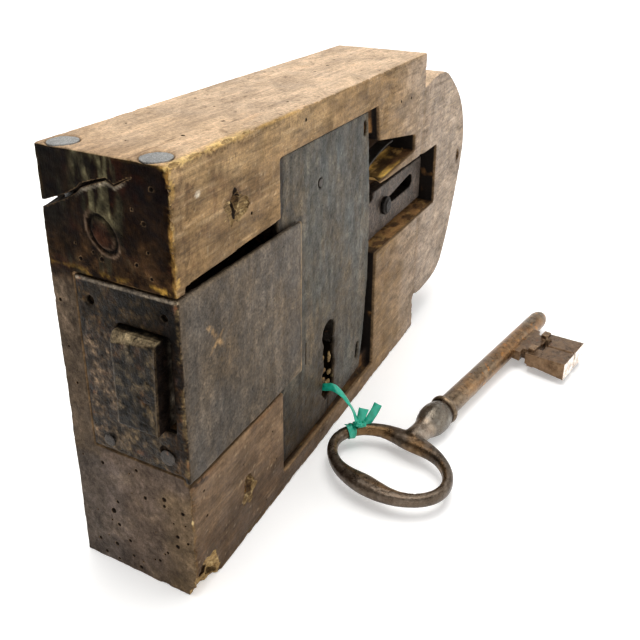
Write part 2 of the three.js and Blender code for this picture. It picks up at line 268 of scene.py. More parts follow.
# ------------------------------------------------------------------ materials
class Mat:
    def __init__(self, name):
        self.mat = bpy.data.materials.new(name)
        self.mat.use_nodes = True
        self.nt = self.mat.node_tree
        self.bsdf = self.nt.nodes["Principled BSDF"]
        tc = self.nt.nodes.new("ShaderNodeTexCoord")
        self.mm = self.vmath("MULTIPLY", tc.outputs["Object"], (1000, 1000, 1000))

    def link(self, a, b):
        self.nt.links.new(a, b)

    def put(self, socket, v):
        if isinstance(v, (int, float)):
            socket.default_value = v
        elif isinstance(v, (tuple, list, np.ndarray)):
            v = list(v)
            socket.default_value = v + [1] if len(v) == 3 and len(socket.default_value) == 4 else v
        else:
            self.link(v, socket)

    def vmath(self, op, a, b):
        n = self.nt.nodes.new("ShaderNodeVectorMath")
        n.operation = op
        self.put(n.inputs[0], a)
        self.put(n.inputs[1], b)
        return n.outputs[0]

    def math(self, op, a, b=0.5, clamp=False):
        n = self.nt.nodes.new("ShaderNodeMath")
        n.operation, n.use_clamp = op, clamp
        self.put(n.inputs[0], a)
        self.put(n.inputs[1], b)
        return n.outputs[0]

    def noise(self, scale, detail=4.0, rough=0.55, distortion=0.0, shift=(0, 0, 0)):
        """scale: cycles per mm along x, y and z."""
        s = scale if isinstance(scale, (tuple, list)) else (scale,) * 3
        v = self.vmath("MULTIPLY", self.mm, s)
        if any(shift):
            v = self.vmath("ADD", v, shift)
        n = self.nt.nodes.new("ShaderNodeTexNoise")
        self.link(v, n.inputs["Vector"])
        n.inputs["Scale"].default_value = 1.0
        n.inputs["Detail"].default_value = detail
        n.inputs["Roughness"].default_value = rough
        n.inputs["Distortion"].default_value = distortion
        return n.outputs[0]

    def voronoi(self, scale, feature="F1", shift=(0, 0, 0)):
        s = scale if isinstance(scale, (tuple, list)) else (scale,) * 3
        v = self.vmath("MULTIPLY", self.mm, s)
        v = self.vmath("ADD", v, shift)
        n = self.nt.nodes.new("ShaderNodeTexVoronoi")
        n.feature = feature
        self.link(v, n.inputs["Vector"])
        n.inputs["Scale"].default_value = 1.0
        return n.outputs[0]

    def ramp(self, v, a, b, lo=0.0, hi=1.0):
        n = self.nt.nodes.new("ShaderNodeMapRange")
        n.interpolation_type = "SMOOTHSTEP"
        self.put(n.inputs["Value"], v)
        n.inputs["From Min"].default_value = a
        n.inputs["From Max"].default_value = b
        n.inputs["To Min"].default_value = lo
        n.inputs["To Max"].default_value = hi
        return n.outputs[0]

    def mix(self, f, a, b, mode="MIX"):
        n = self.nt.nodes.new("ShaderNodeMix")
        n.data_type, n.blend_type = "RGBA", mode
        self.put(n.inputs["Factor"], f)
        self.put(n.inputs["A"] if False else n.inputs[6], a)
        self.put(n.inputs[7], b)
        return n.outputs[2]

    def scale(self, c, f):
        """colour times a number"""
        n = self.nt.nodes.new("ShaderNodeVectorMath")
        n.operation = "SCALE"
        self.put(n.inputs[0], c)
        self.put(n.inputs["Scale"], f)
        return n.outputs[0]

    def attr(self, name):
        n = self.nt.nodes.new("ShaderNodeAttribute")
        n.attribute_name = name
        return n

    def bump(self, *layers):
        """layers of (height, distance in mm)"""
        last = None
        for h, dist in layers:
            n = self.nt.nodes.new("ShaderNodeBump")
            n.inputs["Strength"].default_value = 1.0
            n.inputs["Distance"].default_value = dist * MM
            self.link(h, n.inputs["Height"])
            if last is not None:
                self.link(last, n.inputs["Normal"])
            last = n.outputs[0]
        self.link(last, self.bsdf.inputs["Normal"])

    def set(self, **k):
        for name, v in k.items():
            self.put(self.bsdf.inputs[name.replace("_", " ")], v)
        return self


def wood_material(name="old_wood", spec=0.14, contrast=1.0):
    m = Mat(name)
    col = m.attr("col").outputs["Color"]
    endf = m.attr("endf").outputs["Fac"]
    fine = m.attr("fine").outputs["Fac"]
    along = m.noise((0.035, 0.75, 0.75), 7, 0.62, 0.6)
    along2 = m.noise((0.12, 3.2, 3.2), 5, 0.6, 0.3, (3, 7, 1))
    iso = m.noise(0.55, 7, 0.66)
    iso2 = m.noise(2.4, 4, 0.6, 0, (9, 2, 4))
    upright = m.noise((1.7, 1.7, 0.075), 5, 0.6, 0.2, (4, 1, 6))
    speck = m.noise(1.15, 3, 0.5, 0, (1, 5, 8))
    f = m.ramp(along, 0.3, 0.7, 0.84, 1.13)
    f = m.math("MULTIPLY", f, m.ramp(along2, 0.32, 0.68, 0.92, 1.07))
    fe = m.math("MULTIPLY", m.ramp(iso, 0.3, 0.72, 0.76, 1.22), m.ramp(iso2, 0.3, 0.7, 0.88, 1.1))
    n = m.nt.nodes.new("ShaderNodeMix")
    n.data_type = "FLOAT"
    m.link(endf, n.inputs["Factor"])
    m.link(f, n.inputs[2])
    m.link(fe, n.inputs[3])
    f = n.outputs[0]
    f = m.math("MULTIPLY", f, m.ramp(iso2, 0.28, 0.7, 0.9, 1.08))
    f = m.math("MULTIPLY", f, m.ramp(upright, 0.36, 0.64, 0.96, 1.04))
    f = m.math("MULTIPLY", f, m.ramp(speck, 0.24, 0.36, 0.62, 1.0))
    c = m.scale(col, f)
    # pale dry fibres where the surface is rubbed
    dry = m.math("MULTIPLY", m.ramp(m.noise((0.25, 1.9, 1.9), 6, 0.7, 0.4, (2, 2, 2)), 0.55, 0.74), fine)
    c = m.mix(m.math("MULTIPLY", dry, 0.6), c, m.scale(col, 1.45))
    blot = m.noise((0.05, 0.11, 0.11), 6, 0.7, 0.5, (11, 3, 5))
    c = m.scale(c, m.ramp(blot, 0.36, 0.66, 0.74, 1.16))
    grit = m.noise(0.95, 5, 0.72, 0.1, (21, 4, 9))
    c = m.scale(c, m.ramp(grit, 0.32, 0.68, 1 - 0.24 * contrast, 1 + 0.2 * contrast))
    # fine dark scratches and cracks along the grain
    hair = m.noise((0.05, 4.6, 4.6), 3, 0.5, 0.25, (13, 1, 2))
    c = m.scale(c, m.ramp(hair, 0.33, 0.39, 0.72, 1.0))
    m.set(Base_Color=c, Specular_IOR_Level=spec)
    rough = m.ramp(m.noise(0.09, 4, 0.6), 0.3, 0.7, 0.52, 0.8)
    m.set(Roughness=m.math("SUBTRACT", rough, m.math("MULTIPLY", endf, 0.12)))
    m.bump((m.math("ADD", m.math("MULTIPLY", along2, 0.7), m.math("MULTIPLY", along, 0.9)), 0.35), (iso2, 0.16), (upright, 0.12), (m.ramp(speck, 0.24, 0.36), 0.22))
    return m.mat


def fresh_material(name, c1, c2, c3):
    m = Mat(name)
    a = m.noise((0.12, 1.3, 1.3), 6, 0.65, 0.4)
    b = m.noise(0.45, 5, 0.6)
    c = m.mix(m.ramp(a, 0.35, 0.65), c1, c2)
    c = m.mix(m.ramp(b, 0.5, 0.72), c, c3)
    m.set(Base_Color=c, Roughness=0.85, Specular_IOR_Level=0.2)
    m.bump((a, 0.6), (m.noise(1.8, 4, 0.6), 0.25))
    return m.mat


def iron_material(name, dark, mid, light, rust=(0.21, 0.085, 0.03), rust_at=0.62, rough=(0.42, 0.68), metal=0.55, streak=None, grain=1.0, pits=0.25, attr=True, mottle=1.0, fine=1.0):
    m = Mat(name)
    big = m.noise(0.055 * grain, 5, 0.6, 0.3)
    med = m.noise(0.28 * grain, 6, 0.65, 0.2, (5, 1, 3))
    fin = m.noise(1.6 * grain, 4, 0.6, 0, (2, 8, 1))
    pit = m.noise(0.85 * grain, 3, 0.5, 0, (7, 7, 2))
    c = m.mix(m.ramp(big, 0.34, 0.66), dark, mid)
    c = m.mix(m.ramp(med, 0.42, 0.74), c, light)
    if streak:
        st = m.noise(streak, 5, 0.62, 0.15, (1, 9, 4))
        c = m.scale(c, m.ramp(st, 0.3, 0.7, 0.88, 1.12))
    c = m.scale(c, m.ramp(fin, 0.3, 0.7, 1 - 0.38 * fine, 1 + 0.36 * fine))
    mot = m.noise(0.62 * grain, 5, 0.75, 0.1, (31, 2, 7))
    c = m.scale(c, m.ramp(mot, 0.34, 0.66, 1 - 0.34 * mottle, 1 + 0.4 * mottle))
    ru = m.math("MULTIPLY", m.ramp(m.noise(0.16 * grain, 6, 0.7, 0.5, (8, 3, 5)), rust_at, rust_at + 0.12), m.ramp(fin, 0.3, 0.6, 0.4, 1.0))
    c = m.mix(ru, c, rust)
    pm = m.ramp(pit, 0.26, 0.38)
    c = m.scale(c, m.math("ADD", m.math("MULTIPLY", pm, 0.55), 0.45))
    if attr:
        c = m.mix(1.0, c, m.attr("col").outputs["Color"], "MULTIPLY")
    m.set(Base_Color=c, Metallic=m.math("SUBTRACT", metal, m.math("MULTIPLY", ru, metal * 0.8), True), Specular_IOR_Level=0.4)
    r = m.ramp(med, 0.3, 0.7, rough[0], rough[1])
    m.set(Roughness=m.math("ADD", r, m.math("MULTIPLY", ru, 0.2), True))
    layers = [(med, 0.35 * pits / 0.25), (fin, 0.12), (pm, pits)]
    if streak:
        layers.insert(0, (m.noise(streak, 5, 0.62, 0.15, (1, 9, 4)), 0.14))
    m.bump(*layers)
    return m.mat


def ribbon_material():
    m = Mat("green_ribbon")
    a = m.noise((0.5, 0.5, 0.5), 3, 0.5)
    c = m.mix(m.ramp(a, 0.3, 0.7), (0.006, 0.31, 0.195), (0.012, 0.42, 0.28))
    m.set(Base_Color=c, Roughness=0.3, Specular_IOR_Level=0.55, Subsurface_Weight=0.0)
    m.bump((m.noise((3.5, 3.5, 3.5), 2, 0.5), 0.05))
    return m.mat


M_WOOD = wood_material()
M_ENDW = wood_material("end_grain", 0.02, 0.7)
M_FRESH = fresh_material("fresh_wood", (0.60, 0.38, 0.13), (0.40, 0.22, 0.07), (0.74, 0.55, 0.27))
# near-black hole material: painted shade inside the worm holes, cracks, slits, sockets and the drawn hole
M_HOLE_SHADE = fresh_material("hole_painted_shade", (0.03, 0.018, 0.01), (0.012, 0.008, 0.005), (0.06, 0.035, 0.018))
M_SOCKET = fresh_material("nail_socket", (0.15, 0.085, 0.035), (0.035, 0.02, 0.01), (0.42, 0.28, 0.12))
M_TORN = fresh_material("torn_wood", (0.25, 0.16, 0.065), (0.07, 0.04, 0.016), (0.55, 0.4, 0.19))
M_GOLD = fresh_material("split_edge", (0.40, 0.265, 0.105), (0.16, 0.09, 0.035), (0.60, 0.44, 0.21))
M_LEAF = iron_material("leaf_iron", (0.095, 0.08, 0.062), (0.155, 0.135, 0.108), (0.21, 0.185, 0.15), rust_at=0.7, streak=(0.5, 0.5, 0.045), metal=0.78, mottle=0.55)
M_END = iron_material("end_iron", (0.03, 0.024, 0.019), (0.06, 0.048, 0.038), (0.12, 0.1, 0.08), rust=(0.13, 0.05, 0.02), rust_at=0.58, streak=None, grain=1.1, pits=0.55, metal=0.85, mottle=1.3)
M_COVER = iron_material("cover_iron", (0.12, 0.113, 0.098), (0.185, 0.175, 0.155), (0.25, 0.24, 0.215), rust_at=0.72, streak=(0.32, 0.32, 0.05), metal=0.78, mottle=0.75)
M_BOLT = iron_material("bolt_iron", (0.045, 0.036, 0.026), (0.095, 0.078, 0.058), (0.2, 0.17, 0.13), rust=(0.16, 0.07, 0.03), rust_at=0.6, grain=1.1, pits=0.5, metal=0.85, mottle=1.3)
M_KEY = iron_material("key_iron", (0.15, 0.12, 0.09), (0.27, 0.22, 0.17), (0.42, 0.37, 0.31), rust=(0.28, 0.13, 0.055), rust_at=0.6, rough=(0.24, 0.4), grain=1.2, pits=0.12, metal=0.85, mottle=0.18, fine=0.35)
M_INNER = iron_material("inner_iron", (0.02, 0.015, 0.011), (0.04, 0.031, 0.023), (0.075, 0.06, 0.046), rust_at=0.55, attr=False, metal=0.5)
M_NAIL = iron_material("nail_iron", (0.17, 0.17, 0.165), (0.26, 0.26, 0.25), (0.36, 0.36, 0.35), rust_at=0.68, attr=False, metal=0.5, grain=2.0, mottle=0.15)
M_NAILD = iron_material("dark_nail", (0.022, 0.018, 0.014), (0.042, 0.034, 0.028), (0.085, 0.07, 0.058), rust_at=0.6, attr=False, metal=0.45, grain=2.0)
M_SPRING = iron_material("spring_iron", (0.025, 0.02, 0.016), (0.05, 0.042, 0.035), (0.11, 0.098, 0.085), rust_at=0.68, attr=False, metal=0.75, grain=2.0)
M_STUD = iron_material("stud_iron", (0.008, 0.007, 0.006), (0.016, 0.013, 0.011), (0.035, 0.03, 0.026), rust_at=0.66, attr=False, metal=0.85, grain=2.0)
M_RIBBON = ribbon_material()

V_WOOD = 0.62

# ------------------------------------------------------------------ wood stock
rng = np.random.default_rng(7)


def cylinder(cx, radius, depth, axis, tilt=(0, 0), sides=10, flare=1.0, jit=0.15, seed=0):
    """A closed cutter from just outside the surface into it. axis is the inward direction."""
    g = np.random.default_rng(seed + 1000)
    a = Vector(axis).normalized()
    b = a.orthogonal().normalized()
    c = a.cross(b)
    a = (a + b * tilt[0] + c * tilt[1]).normalized()
    rings = [(-1.5, radius * flare), (0.0, radius * flare), (0.5 + 0.3 * radius, radius), (depth, radius * 0.8)]
    ph = g.random(sides) * jit
    verts, faces = [], []
    for t, rr in rings:
        for k in range(sides):
            an = 2 * math.pi * k / sides
            q = Vector(cx) + a * t + (b * math.cos(an) + c * math.sin(an)) * rr * (1 - ph[k])
            verts.append(tuple(q))
    n = sides
    for i in range(len(rings) - 1):
        for k in range(n):
            faces.append((i * n + k, (i + 1) * n + k, (i + 1) * n + (k + 1) % n, i * n + (k + 1) % n))
    faces.append(tuple(range(n)))
    faces.append(tuple(reversed([(len(rings) - 1) * n + k for k in range(n)])))
    return verts, faces


def fix(me):
    bm = bmesh.new()
    bm.from_mesh(me)
    bmesh.ops.recalc_face_normals(bm, faces=bm.faces)
    bm.to_mesh(me)
    bm.free()
    return me


def blob(center, radii, amp, seed, mat, sub=4):
    bm = bmesh.new()
    bmesh.ops.create_icosphere(bm, subdivisions=sub, radius=1)
    p = np.array([v.co for v in bm.verts])
    s = p * np.array(radii)
    k = 1 + amp * fbm(s + np.array(center), 5.0, seed, 4, 0.6)
    q = s * k[:, None] + np.array(center)
    for v, w in zip(bm.verts, q):
        v.co = (w + np.array([OX, OY, 0])) * MM
    me = bpy.data.meshes.new("blob")
    bm.to_mesh(me)
    bm.free()
    me.materials.append(mat)
    return link(bpy.data.objects.new("blob", me))


def joined(name, parts, mat):
    verts, faces = [], []
    for v, f in parts:
        k = len(verts)
        verts += v
        faces += [tuple(i + k for i in g) for g in f]
    return link(bpy.data.objects.new(name, fix(raw(name, verts, faces, mat))))


def edge_distance(p):
    """Distance to the block's long arrises, and which way they wear."""
    L, T, H = 199.5, 47.7, 150.0
    x, y, z = p.T
    out = np.full(len(p), 99.0)
    inx = np.maximum(0, np.maximum(-x, x - L))
    for yy in (0, T):
        for zz in (0, H):
            out = np.minimum(out, np.sqrt((y - yy) ** 2 + (z - zz) ** 2 + inx ** 2))
    for xx in (0, L):
        for yy in (0, T):
            out = np.minimum(out, np.hypot(x - xx, y - yy))
        for zz in (0, H):
            out = np.minimum(out, np.hypot(x - xx, z - zz))
    return out


wood = remeshed("wood", welded(nodes["wood_stock"].data.copy()), V_WOOD)
me = wood.data
p = coords(me)
n = normals(me)
p = laplace(me, p, 1, 0.5)
ed = edge_distance(p)
wear = step(ed, 4.2, 0.2)
# worn and dented arrises, more on the top front one and at the bolt end
more = 1 + 1.4 * step(p[:, 0], 60, 0) * step(p[:, 1], 8, 0)
chipn = np.maximum(0, fbm(p, (6, 3.2, 3.2), 11, 5, 0.68) - 0.02) + 0.5 * np.maximum(0, fbm(p, (2.6, 1.8, 1.8), 12, 3, 0.6) - 0.15)
crisp = 0.25 + 0.75 * step(p[:, 1], 30, 8)
dis = -wear * (0.12 + 1.05 * chipn * more) * crisp
# gentle hand-planed waviness and raised grain
dis += 0.28 * fbm(p, (60, 30, 30), 3, 3) + 0.10 * fbm(p, (26, 2.4, 2.4), 5, 3) + 0.05 * noise(p, 1.7, 9)
endface = step(p[:, 0], 1.6, 0.2) * step(-n[:, 0], 0.3, 0.9)
dis += endface * (0.22 * fbm(p, 5.5, 21, 4, 0.6) - 0.1)
inner = ((p[:, 1] > 4) & (p[:, 1] < 43) & (p[:, 0] > 4) & (p[:, 0] < 230) & (p[:, 2] > 8) & (p[:, 2] < 140))
dis = np.where(inner, 0.05 * fbm(p, 3.0, 31, 3), dis)
rk = np.hypot((p[:, 1] - 25.0 - 0.3 * (p[:, 2] - 126.0)) / 5.2, (p[:, 2] - 126.0) / 6.3) + 0.05 * fbm(p, 4, 23, 3)
dis += endface * (-0.75 * step(abs(rk - 0.86), 0.13, 0.03) + 0.1 * step(abs(rk - 1.1), 0.12, 0.03))
nd = np.minimum(np.hypot(p[:, 0] - 5.4, p[:, 1] - 8.0), np.hypot(p[:, 0] - 5.4, p[:, 1] - 41.4))
dis *= np.where(p[:, 2] > 148.5, 0.25 + 0.75 * step(nd, 5.5, 9), 1)
dis = np.minimum(dis, 0.0)
p = p + n * dis[:, None]
p[:, 2] = np.clip(p[:, 2], 0.0, 150.0)
set_coords(me, p)
me.materials.clear()
for mt in (M_WOOD, M_FRESH, M_HOLE_SHADE, M_SOCKET, M_GOLD, M_TORN):
    me.materials.append(mt)

# worm holes: mostly in the lower part of the end grain, a few elsewhere
spots = []


def scatter(count, box, fixed, value, axis, rmin, rmax, gap, seed):
    g = np.random.default_rng(seed)
    (a0, a1), (b0, b1) = box
    out, tries = [], 0
    while len(out) < count and tries < 4000:
        tries += 1
        a, b = a0 + (a1 - a0) * g.random(), b0 + (b1 - b0) * g.random()
        pt = {"x": (value, a, b), "y": (a, value, b), "z": (a, b, value)}[fixed]
        if all((Vector(pt) - Vector(q)).length > gap for q in spots):
            spots.append(pt)
            rr = rmin + (rmax - rmin) * g.random() ** 1.6
            out.append(cylinder(pt, rr, 2.5 + 5 * g.random(), axis, (0.25 * (g.random() - 0.5), 0.25 * (g.random() - 0.5)), 9, 1.0 + 0.25 * g.random(), 0.2, int(g.integers(1e6))))
    return out


worms = []
for i, (wy, wz, wr) in enumerate(((6.2, 142.5, 0.8), (9.6, 132.1, 0.75), (29.1, 119.6, 0.55), (34.2, 116.5, 0.7), (26.1, 118.0, 0.75), (13.3, 119.0, 0.6), (8.8, 123.7, 0.5),
                                  (8.4, 115.8, 0.55), (35.7, 121.3, 0.4), (13.5, 135.6, 0.5), (44.9, 100.4, 0.6), (44.0, 84.0, 0.45), (42.4, 71.0, 0.5),
                                  (35.7, 42.1, 0.7), (21.5, 44.4, 0.65), (33.4, 22.8, 1.05), (18.8, 34.4, 0.7), (10.9, 37.1, 0.9), (11.0, 34.5, 0.6), (31.1, 27.4, 0.65),
                                  (31.6, 17.5, 0.8), (34.4, 18.4, 0.4), (3.9, 34.2, 0.75), (27.4, 12.4, 0.7), (33.4, 8.5, 0.75), (38.6, 2.6, 0.7), (33.1, 1.9, 0.5), (6.7, 23.7, 0.75),
                                  (11.4, 14.6, 0.6), (7.0, 19.3, 0.85), (2.8, 22.3, 0.5), (12.6, 13.4, 0.45), (15.0, 9.6, 0.6), (23.6, 2.4, 0.75), (40.9, 7.6, 0.65), (26.4, 6.2, 0.6), (17.1, 9.0, 0.4))):
    spots.append((-0.1, wy, wz))
    worms.append(cylinder((-0.1, wy, wz), wr, 4.0, (1, 0, 0), (0.1, -0.1), 10, 1.2, 0.2, 900 + i))
worms += scatter(9, ((3, 45), (3, 44)), "x", -0.1, (1, 0, 0), 0.25, 0.42, 3.0, 1)
worms += scatter(14, ((10, 190), (5, 44)), "z", 150.1, (0, 0, -1), 0.3, 0.75, 8.0, 3)
worms += scatter(8, ((8, 190), (117, 146)), "y", -0.1, (0, 1, 0), 0.3, 0.7, 8.0, 4)
worms += scatter(6, ((4, 60), (6, 40)), "y", -0.1, (0, 1, 0), 0.3, 0.7, 6.0, 5)
worms += scatter(7, ((150, 262), (24, 62)), "y", -0.1, (0, 1, 0), 0.3, 0.65, 8.0, 6)
worms += scatter(16, ((10, 255), (22, 128)), "y", 47.8, (0, -1, 0), 0.3, 0.9, 9.0, 7)
# the worm-hole insides take the near-black hole material, which paints their shade
cut(wood, joined("worms", worms, M_HOLE_SHADE))

# torn sockets round the empty fixing holes
for c, rad, rough, seed, mt in (((28.8, -1.3, 128.2), (6.6, 2.2, 5.4), 1.0, 43, M_TORN), ((30.6, -0.2, 129.6), (3.0, 3.4, 3.9), 0.7, 40, M_SOCKET), ((30.2, -0.6, 130.0), (1.9, 5.0, 4.2), 0.7, 47, M_HOLE_SHADE),
                                ((31.2, -1.3, 20.0), (5.6, 2.3, 6.2), 1.0, 44, M_TORN), ((32.8, -0.2, 22.4), (2.8, 3.4, 4.2), 0.7, 41, M_SOCKET), ((32.6, -0.6, 22.6), (1.8, 5.0, 4.4), 0.7, 48, M_HOLE_SHADE),
                                ((263.4, -0.3, 81.5), (2.2, 2.4, 3.2), 0.5, 42, M_SOCKET)):
    cut(wood, blob(c, rad, rough, seed, mt, 4))
# the broken corner and the small losses along the worn arrises
cut(wood, blob((4.0, -1.4, 2.6), (8.6, 4.6, 9.6), 0.6, 50, M_GOLD, 5))
cut(wood, blob((9.0, -1.2, -0.5), (6.0, 3.2, 3.5), 0.7, 59, M_GOLD, 4))
cut(wood, blob((5.8, 3.0, 5.8), (2.6, 2.6, 2.8), 0.8, 58, M_SOCKET, 4))
cut(wood, blob((10.0, 2.0, 2.2), (2.2, 2.4, 1.8), 0.8, 57, M_TORN, 4))
for i, (cx, rx) in enumerate(((2.5, 2.6), (7.0, 2.2), (12.0, 3.6), (19.5, 3.0), (27.0, 4.0), (38.0, 5.0), (52.0, 4.0))):
    cut(wood, blob((cx, -0.9, 150.4), (rx, 2.0, 1.5), 0.75, 540 + i, M_GOLD, 4))
for i, (cz, rz) in enumerate(((147.0, 3.0), (141.0, 2.6), (134.5, 3.4), (126.0, 2.6), (119.0, 3.4), (113.5, 2.0), (40.0, 3.0), (31.0, 2.2), (22.0, 3.0))):
    cut(wood, blob((-0.5, -0.6, cz), (1.25, 1.3, rz), 0.75, 560 + i, M_GOLD, 4))
cut(wood, blob((44.5, 49.0, 151.2), (7.0, 3.0, 2.6), 0.6, 56, M_FRESH, 4))
cut(wood, blob((145.2, 6.0, 100.0), (4.5, 6.0, 2.2), 0.5, 57, M_FRESH, 3))


def prism(pts, x0, x1, narrow, mat):
    """A ragged crack: pts are (y, z, half opening), run from x0 into the wood at x1."""
    verts, faces, k = [], [], len(pts)
    for x, f in ((x0, 1.0), ((x0 + x1) / 2, 0.75), (x1, narrow)):
        for y, z, w in pts:
            verts.append((x, y, z - w * f))
        for y, z, w in reversed(pts):
            verts.append((x, y, z + w * f))
    n2 = 2 * k
    for ring in range(2):
        for i in range(n2):
            faces.append((ring * n2 + i, ring * n2 + (i + 1) % n2, (ring + 1) * n2 + (i + 1) % n2, (ring + 1) * n2 + i))
    for i in range(k - 1):
        a, b = i, n2 - 1 - i
        faces.append((a, b, b - 1, a + 1))
        faces.append((2 * n2 + a, 2 * n2 + a + 1, 2 * n2 + b - 1, 2 * n2 + b))
    return link(bpy.data.objects.new("crack", fix(raw("crack", verts, faces, mat))))


cut(wood, prism([(49.5, 131.4, 1.7), (47.3, 131.5, 1.4), (45.9, 131.8, 1.15), (42.4, 133.3, 0.95), (37.7, 135.2, 0.85), (33.4, 137.6, 0.85), (31.4, 139.5, 0.8), (27.5, 141.0, 0.65), (21.9, 142.9, 0.5), (20.3, 142.2, 0.42), (19.1, 141.5, 0.36), (16.7, 142.8, 0.3), (14.6, 144.0, 0.2), (12.5, 144.8, 0.08)], -1.5, 6.5, 0.2, M_HOLE_SHADE))

me = wood.data
p = coords(me)
n = normals(me)
x, y, z = p.T
ed = edge_distance(p)
top = step(n[:, 2], 0.55, 0.85) * (z > 130)
end = step(-n[:, 0], 0.5, 0.85) * (x < 2.0)
front = step(-n[:, 1], 0.5, 0.85) * (y < 1.5)
ledge = ((y > 1.2) & (y < 46)).astype(float) * (1 - top) * (1 - end) * ((x > 2) & (x < 226) & (z > 7) & (z < 138)).astype(float)
big = fbm(p, (70, 26, 26), 61, 4, 0.55)
med = fbm(p, (22, 9, 9), 62, 4, 0.6)
c_front = lin(134, 107, 73)
c_tongue = lin(158, 140, 122)
c_low = lin(116, 93, 70)
c_top = lin(208, 180, 150)
c_endu = lin(29, 17, 7)
c_endl = lin(92, 78, 67)
c_back = lin(150, 122, 90)
c_side = lin(165, 135, 100)
col = np.tile(c_side, (len(p), 1))


def over(col, c, w):
    return col * (1 - w[:, None]) + np.asarray(c) * w[:, None]


back = step(n[:, 1], 0.5, 0.85) * (y > 44)
col = over(col, c_back, back)
fr = over(np.tile(c_front, (len(p), 1)), c_tongue, step(x + 12 * med, 150, 215))
fr = over(fr, c_low, step(60 - z + 9 * med, -6, 16) * step(150 - x, -20, 50))
fr = over(fr, lin(92, 72, 52), step(47 - z + 6 * med, -3, 10) * step(64 - x + 8 * med, 0, 24) * 0.25)
fr = over(fr, lin(74, 55, 37), step(25 - z + 6 * med, -3, 12) * step(110 - x, 0, 60) * 0.85)
fr = over(fr, lin(116, 74, 36), step(4.5 - abs(z - 47) + 3 * med, 0, 4) * step(68 - x, 0, 20) * (z < 50) * 0.55)
fr = over(fr, lin(176, 146, 104), step(z + 6 * med, 132, 147) * step(130 - x, 0, 60) * 0.5)
col = over(col, fr, front)
tp = over(np.tile(c_top, (len(p), 1)), lin(182, 140, 96), step(med + big, 0.15, 0.75) * 0.55)
tp = over(tp, lin(112, 88, 66), step(fbm(p, (1.8, 1.5, 1.5), 83, 2), 0.55, 0.66) * 0.7)
tp = over(tp, lin(186, 156, 122), step(60 - x + 14 * med, 0, 30) * 0.5)
tp = over(tp, lin(172, 140, 106), step(16 - x + 8 * med, 0, 10) * 0.5)
line = step(abs(y - 13.7 - 0.045 * (x - 1.7)), 0.5, 0.15) * step(24 - x, 0, 3)
tp = over(tp, lin(110, 84, 60), line * 0.7)
col = over(col, tp, top)
en = over(np.tile(c_endl, (len(p), 1)), c_endu, step(z + 5 * med, 98, 112))
fin = fbm(p, (5, 3.2, 3.2), 63, 4, 0.65)
en = over(en, lin(64, 45, 26), step(128 - z + 10 * med, -2, 14) * step(z, 104, 110) * step(fin, -0.5, 0.3) * 0.55)
en = over(en, lin(52, 22, 14), step(fbm(p, 6, 64, 3), 0.2, 0.45) * step(z, 108, 116) * 0.4)
en = en * (1 - 0.45 * step(z + 4 * med, 126, 140) * (z > 110))[:, None]
en = over(en, lin(62, 62, 46), step(fbm(p, (8, 3, 9), 65, 4), 0.12, 0.5) * step(z, 108, 114) * step(y, 8, 20) * 0.4)
en = over(en, lin(98, 92, 68), step(fbm(p, (8, 2.0, 9), 69, 4), -0.12, 0.3) * step(z, 126, 132) * step(y, 17, 22) * step(37 - y, 0, 6) * 0.62)
en = over(en, lin(15, 12, 8), step(y, 34, 41) * step(z + 3 * med, 118, 128) * 0.8)
en = over(en, lin(20, 13, 9), step(fin, 0.05, -0.5) * step(z, 108, 114) * 0.6)
rk = np.hypot((y - 25.0 - 0.3 * (z - 126.0)) / 5.2, (z - 126.0) / 6.3) + 0.05 * fbm(p, 4, 23, 3)
en = over(en, lin(74, 44, 30), step(0.75 - rk, 0, 0.2) * step(fin, -0.6, 0.2) * 0.55)
en = over(en, lin(10, 7, 5), step(abs(rk - 0.87), 0.12, 0.04) * 0.95)
en = over(en, lin(120, 98, 80), step(abs(rk - 1.07), 0.09, 0.02) * step(z - 0.6 * y, 118, 108) * 0.65)
en = over(en, lin(112, 90, 74), step(abs(rk - 0.7), 0.07, 0.02) * step(124 - z, -3, 3) * 0.6)
lip = abs(z - np.interp(y, [14.6, 16.7, 19.1, 20.3, 21.9, 27.5, 31.4, 33.4], [143.0, 141.9, 140.6, 141.2, 141.7, 139.6, 138.2, 136.2]))
en = over(en, lin(150, 138, 120), step(lip, 0.7, 0.15) * step(y, 14, 17) * step(34 - y, 0, 3) * 0.55)
en = over(en, lin(140, 118, 92), step(z, 48, 40) * step(med, 0.0, 0.5) * 0.35)
en = over(en, lin(64, 52, 42), step(y + 5 * med, 34, 46) * step(z, 60, 45) * 0.5)
en = over(en, lin(84, 71, 57), step(y, 35, 37) * step(z, 112, 104) * (0.75 + 0.2 * fin))
en = over(en, lin(156, 120, 52), step(abs(z - 112.2 - 0.8 * med), 2.2, 0.4) * step(fbm(p, (2.0, 2.6, 1.3), 87, 3, 0.6), 0.04, 0.24) * (0.3 + 0.5 * step(16 - y, 0, 6)) * 0.9)
en = over(en, lin(56, 46, 38), step(z, 12, 2) * 0.4)
en = en * (1 + 0.3 * fin)[:, None]
col = over(col, en, end)
dark_side = step(x, 3.0, 0.5) * step(n[:, 1], 0.5, 0.9) * 0
# recess walls and floors, with painted shade in the deep, away-facing and downward-facing parts and painted light on
# upward-facing ledges
rec = over(np.tile(lin(84, 58, 34), (len(p), 1)), lin(150, 106, 58), step(med + 0.3 * big, -0.1, 0.4))
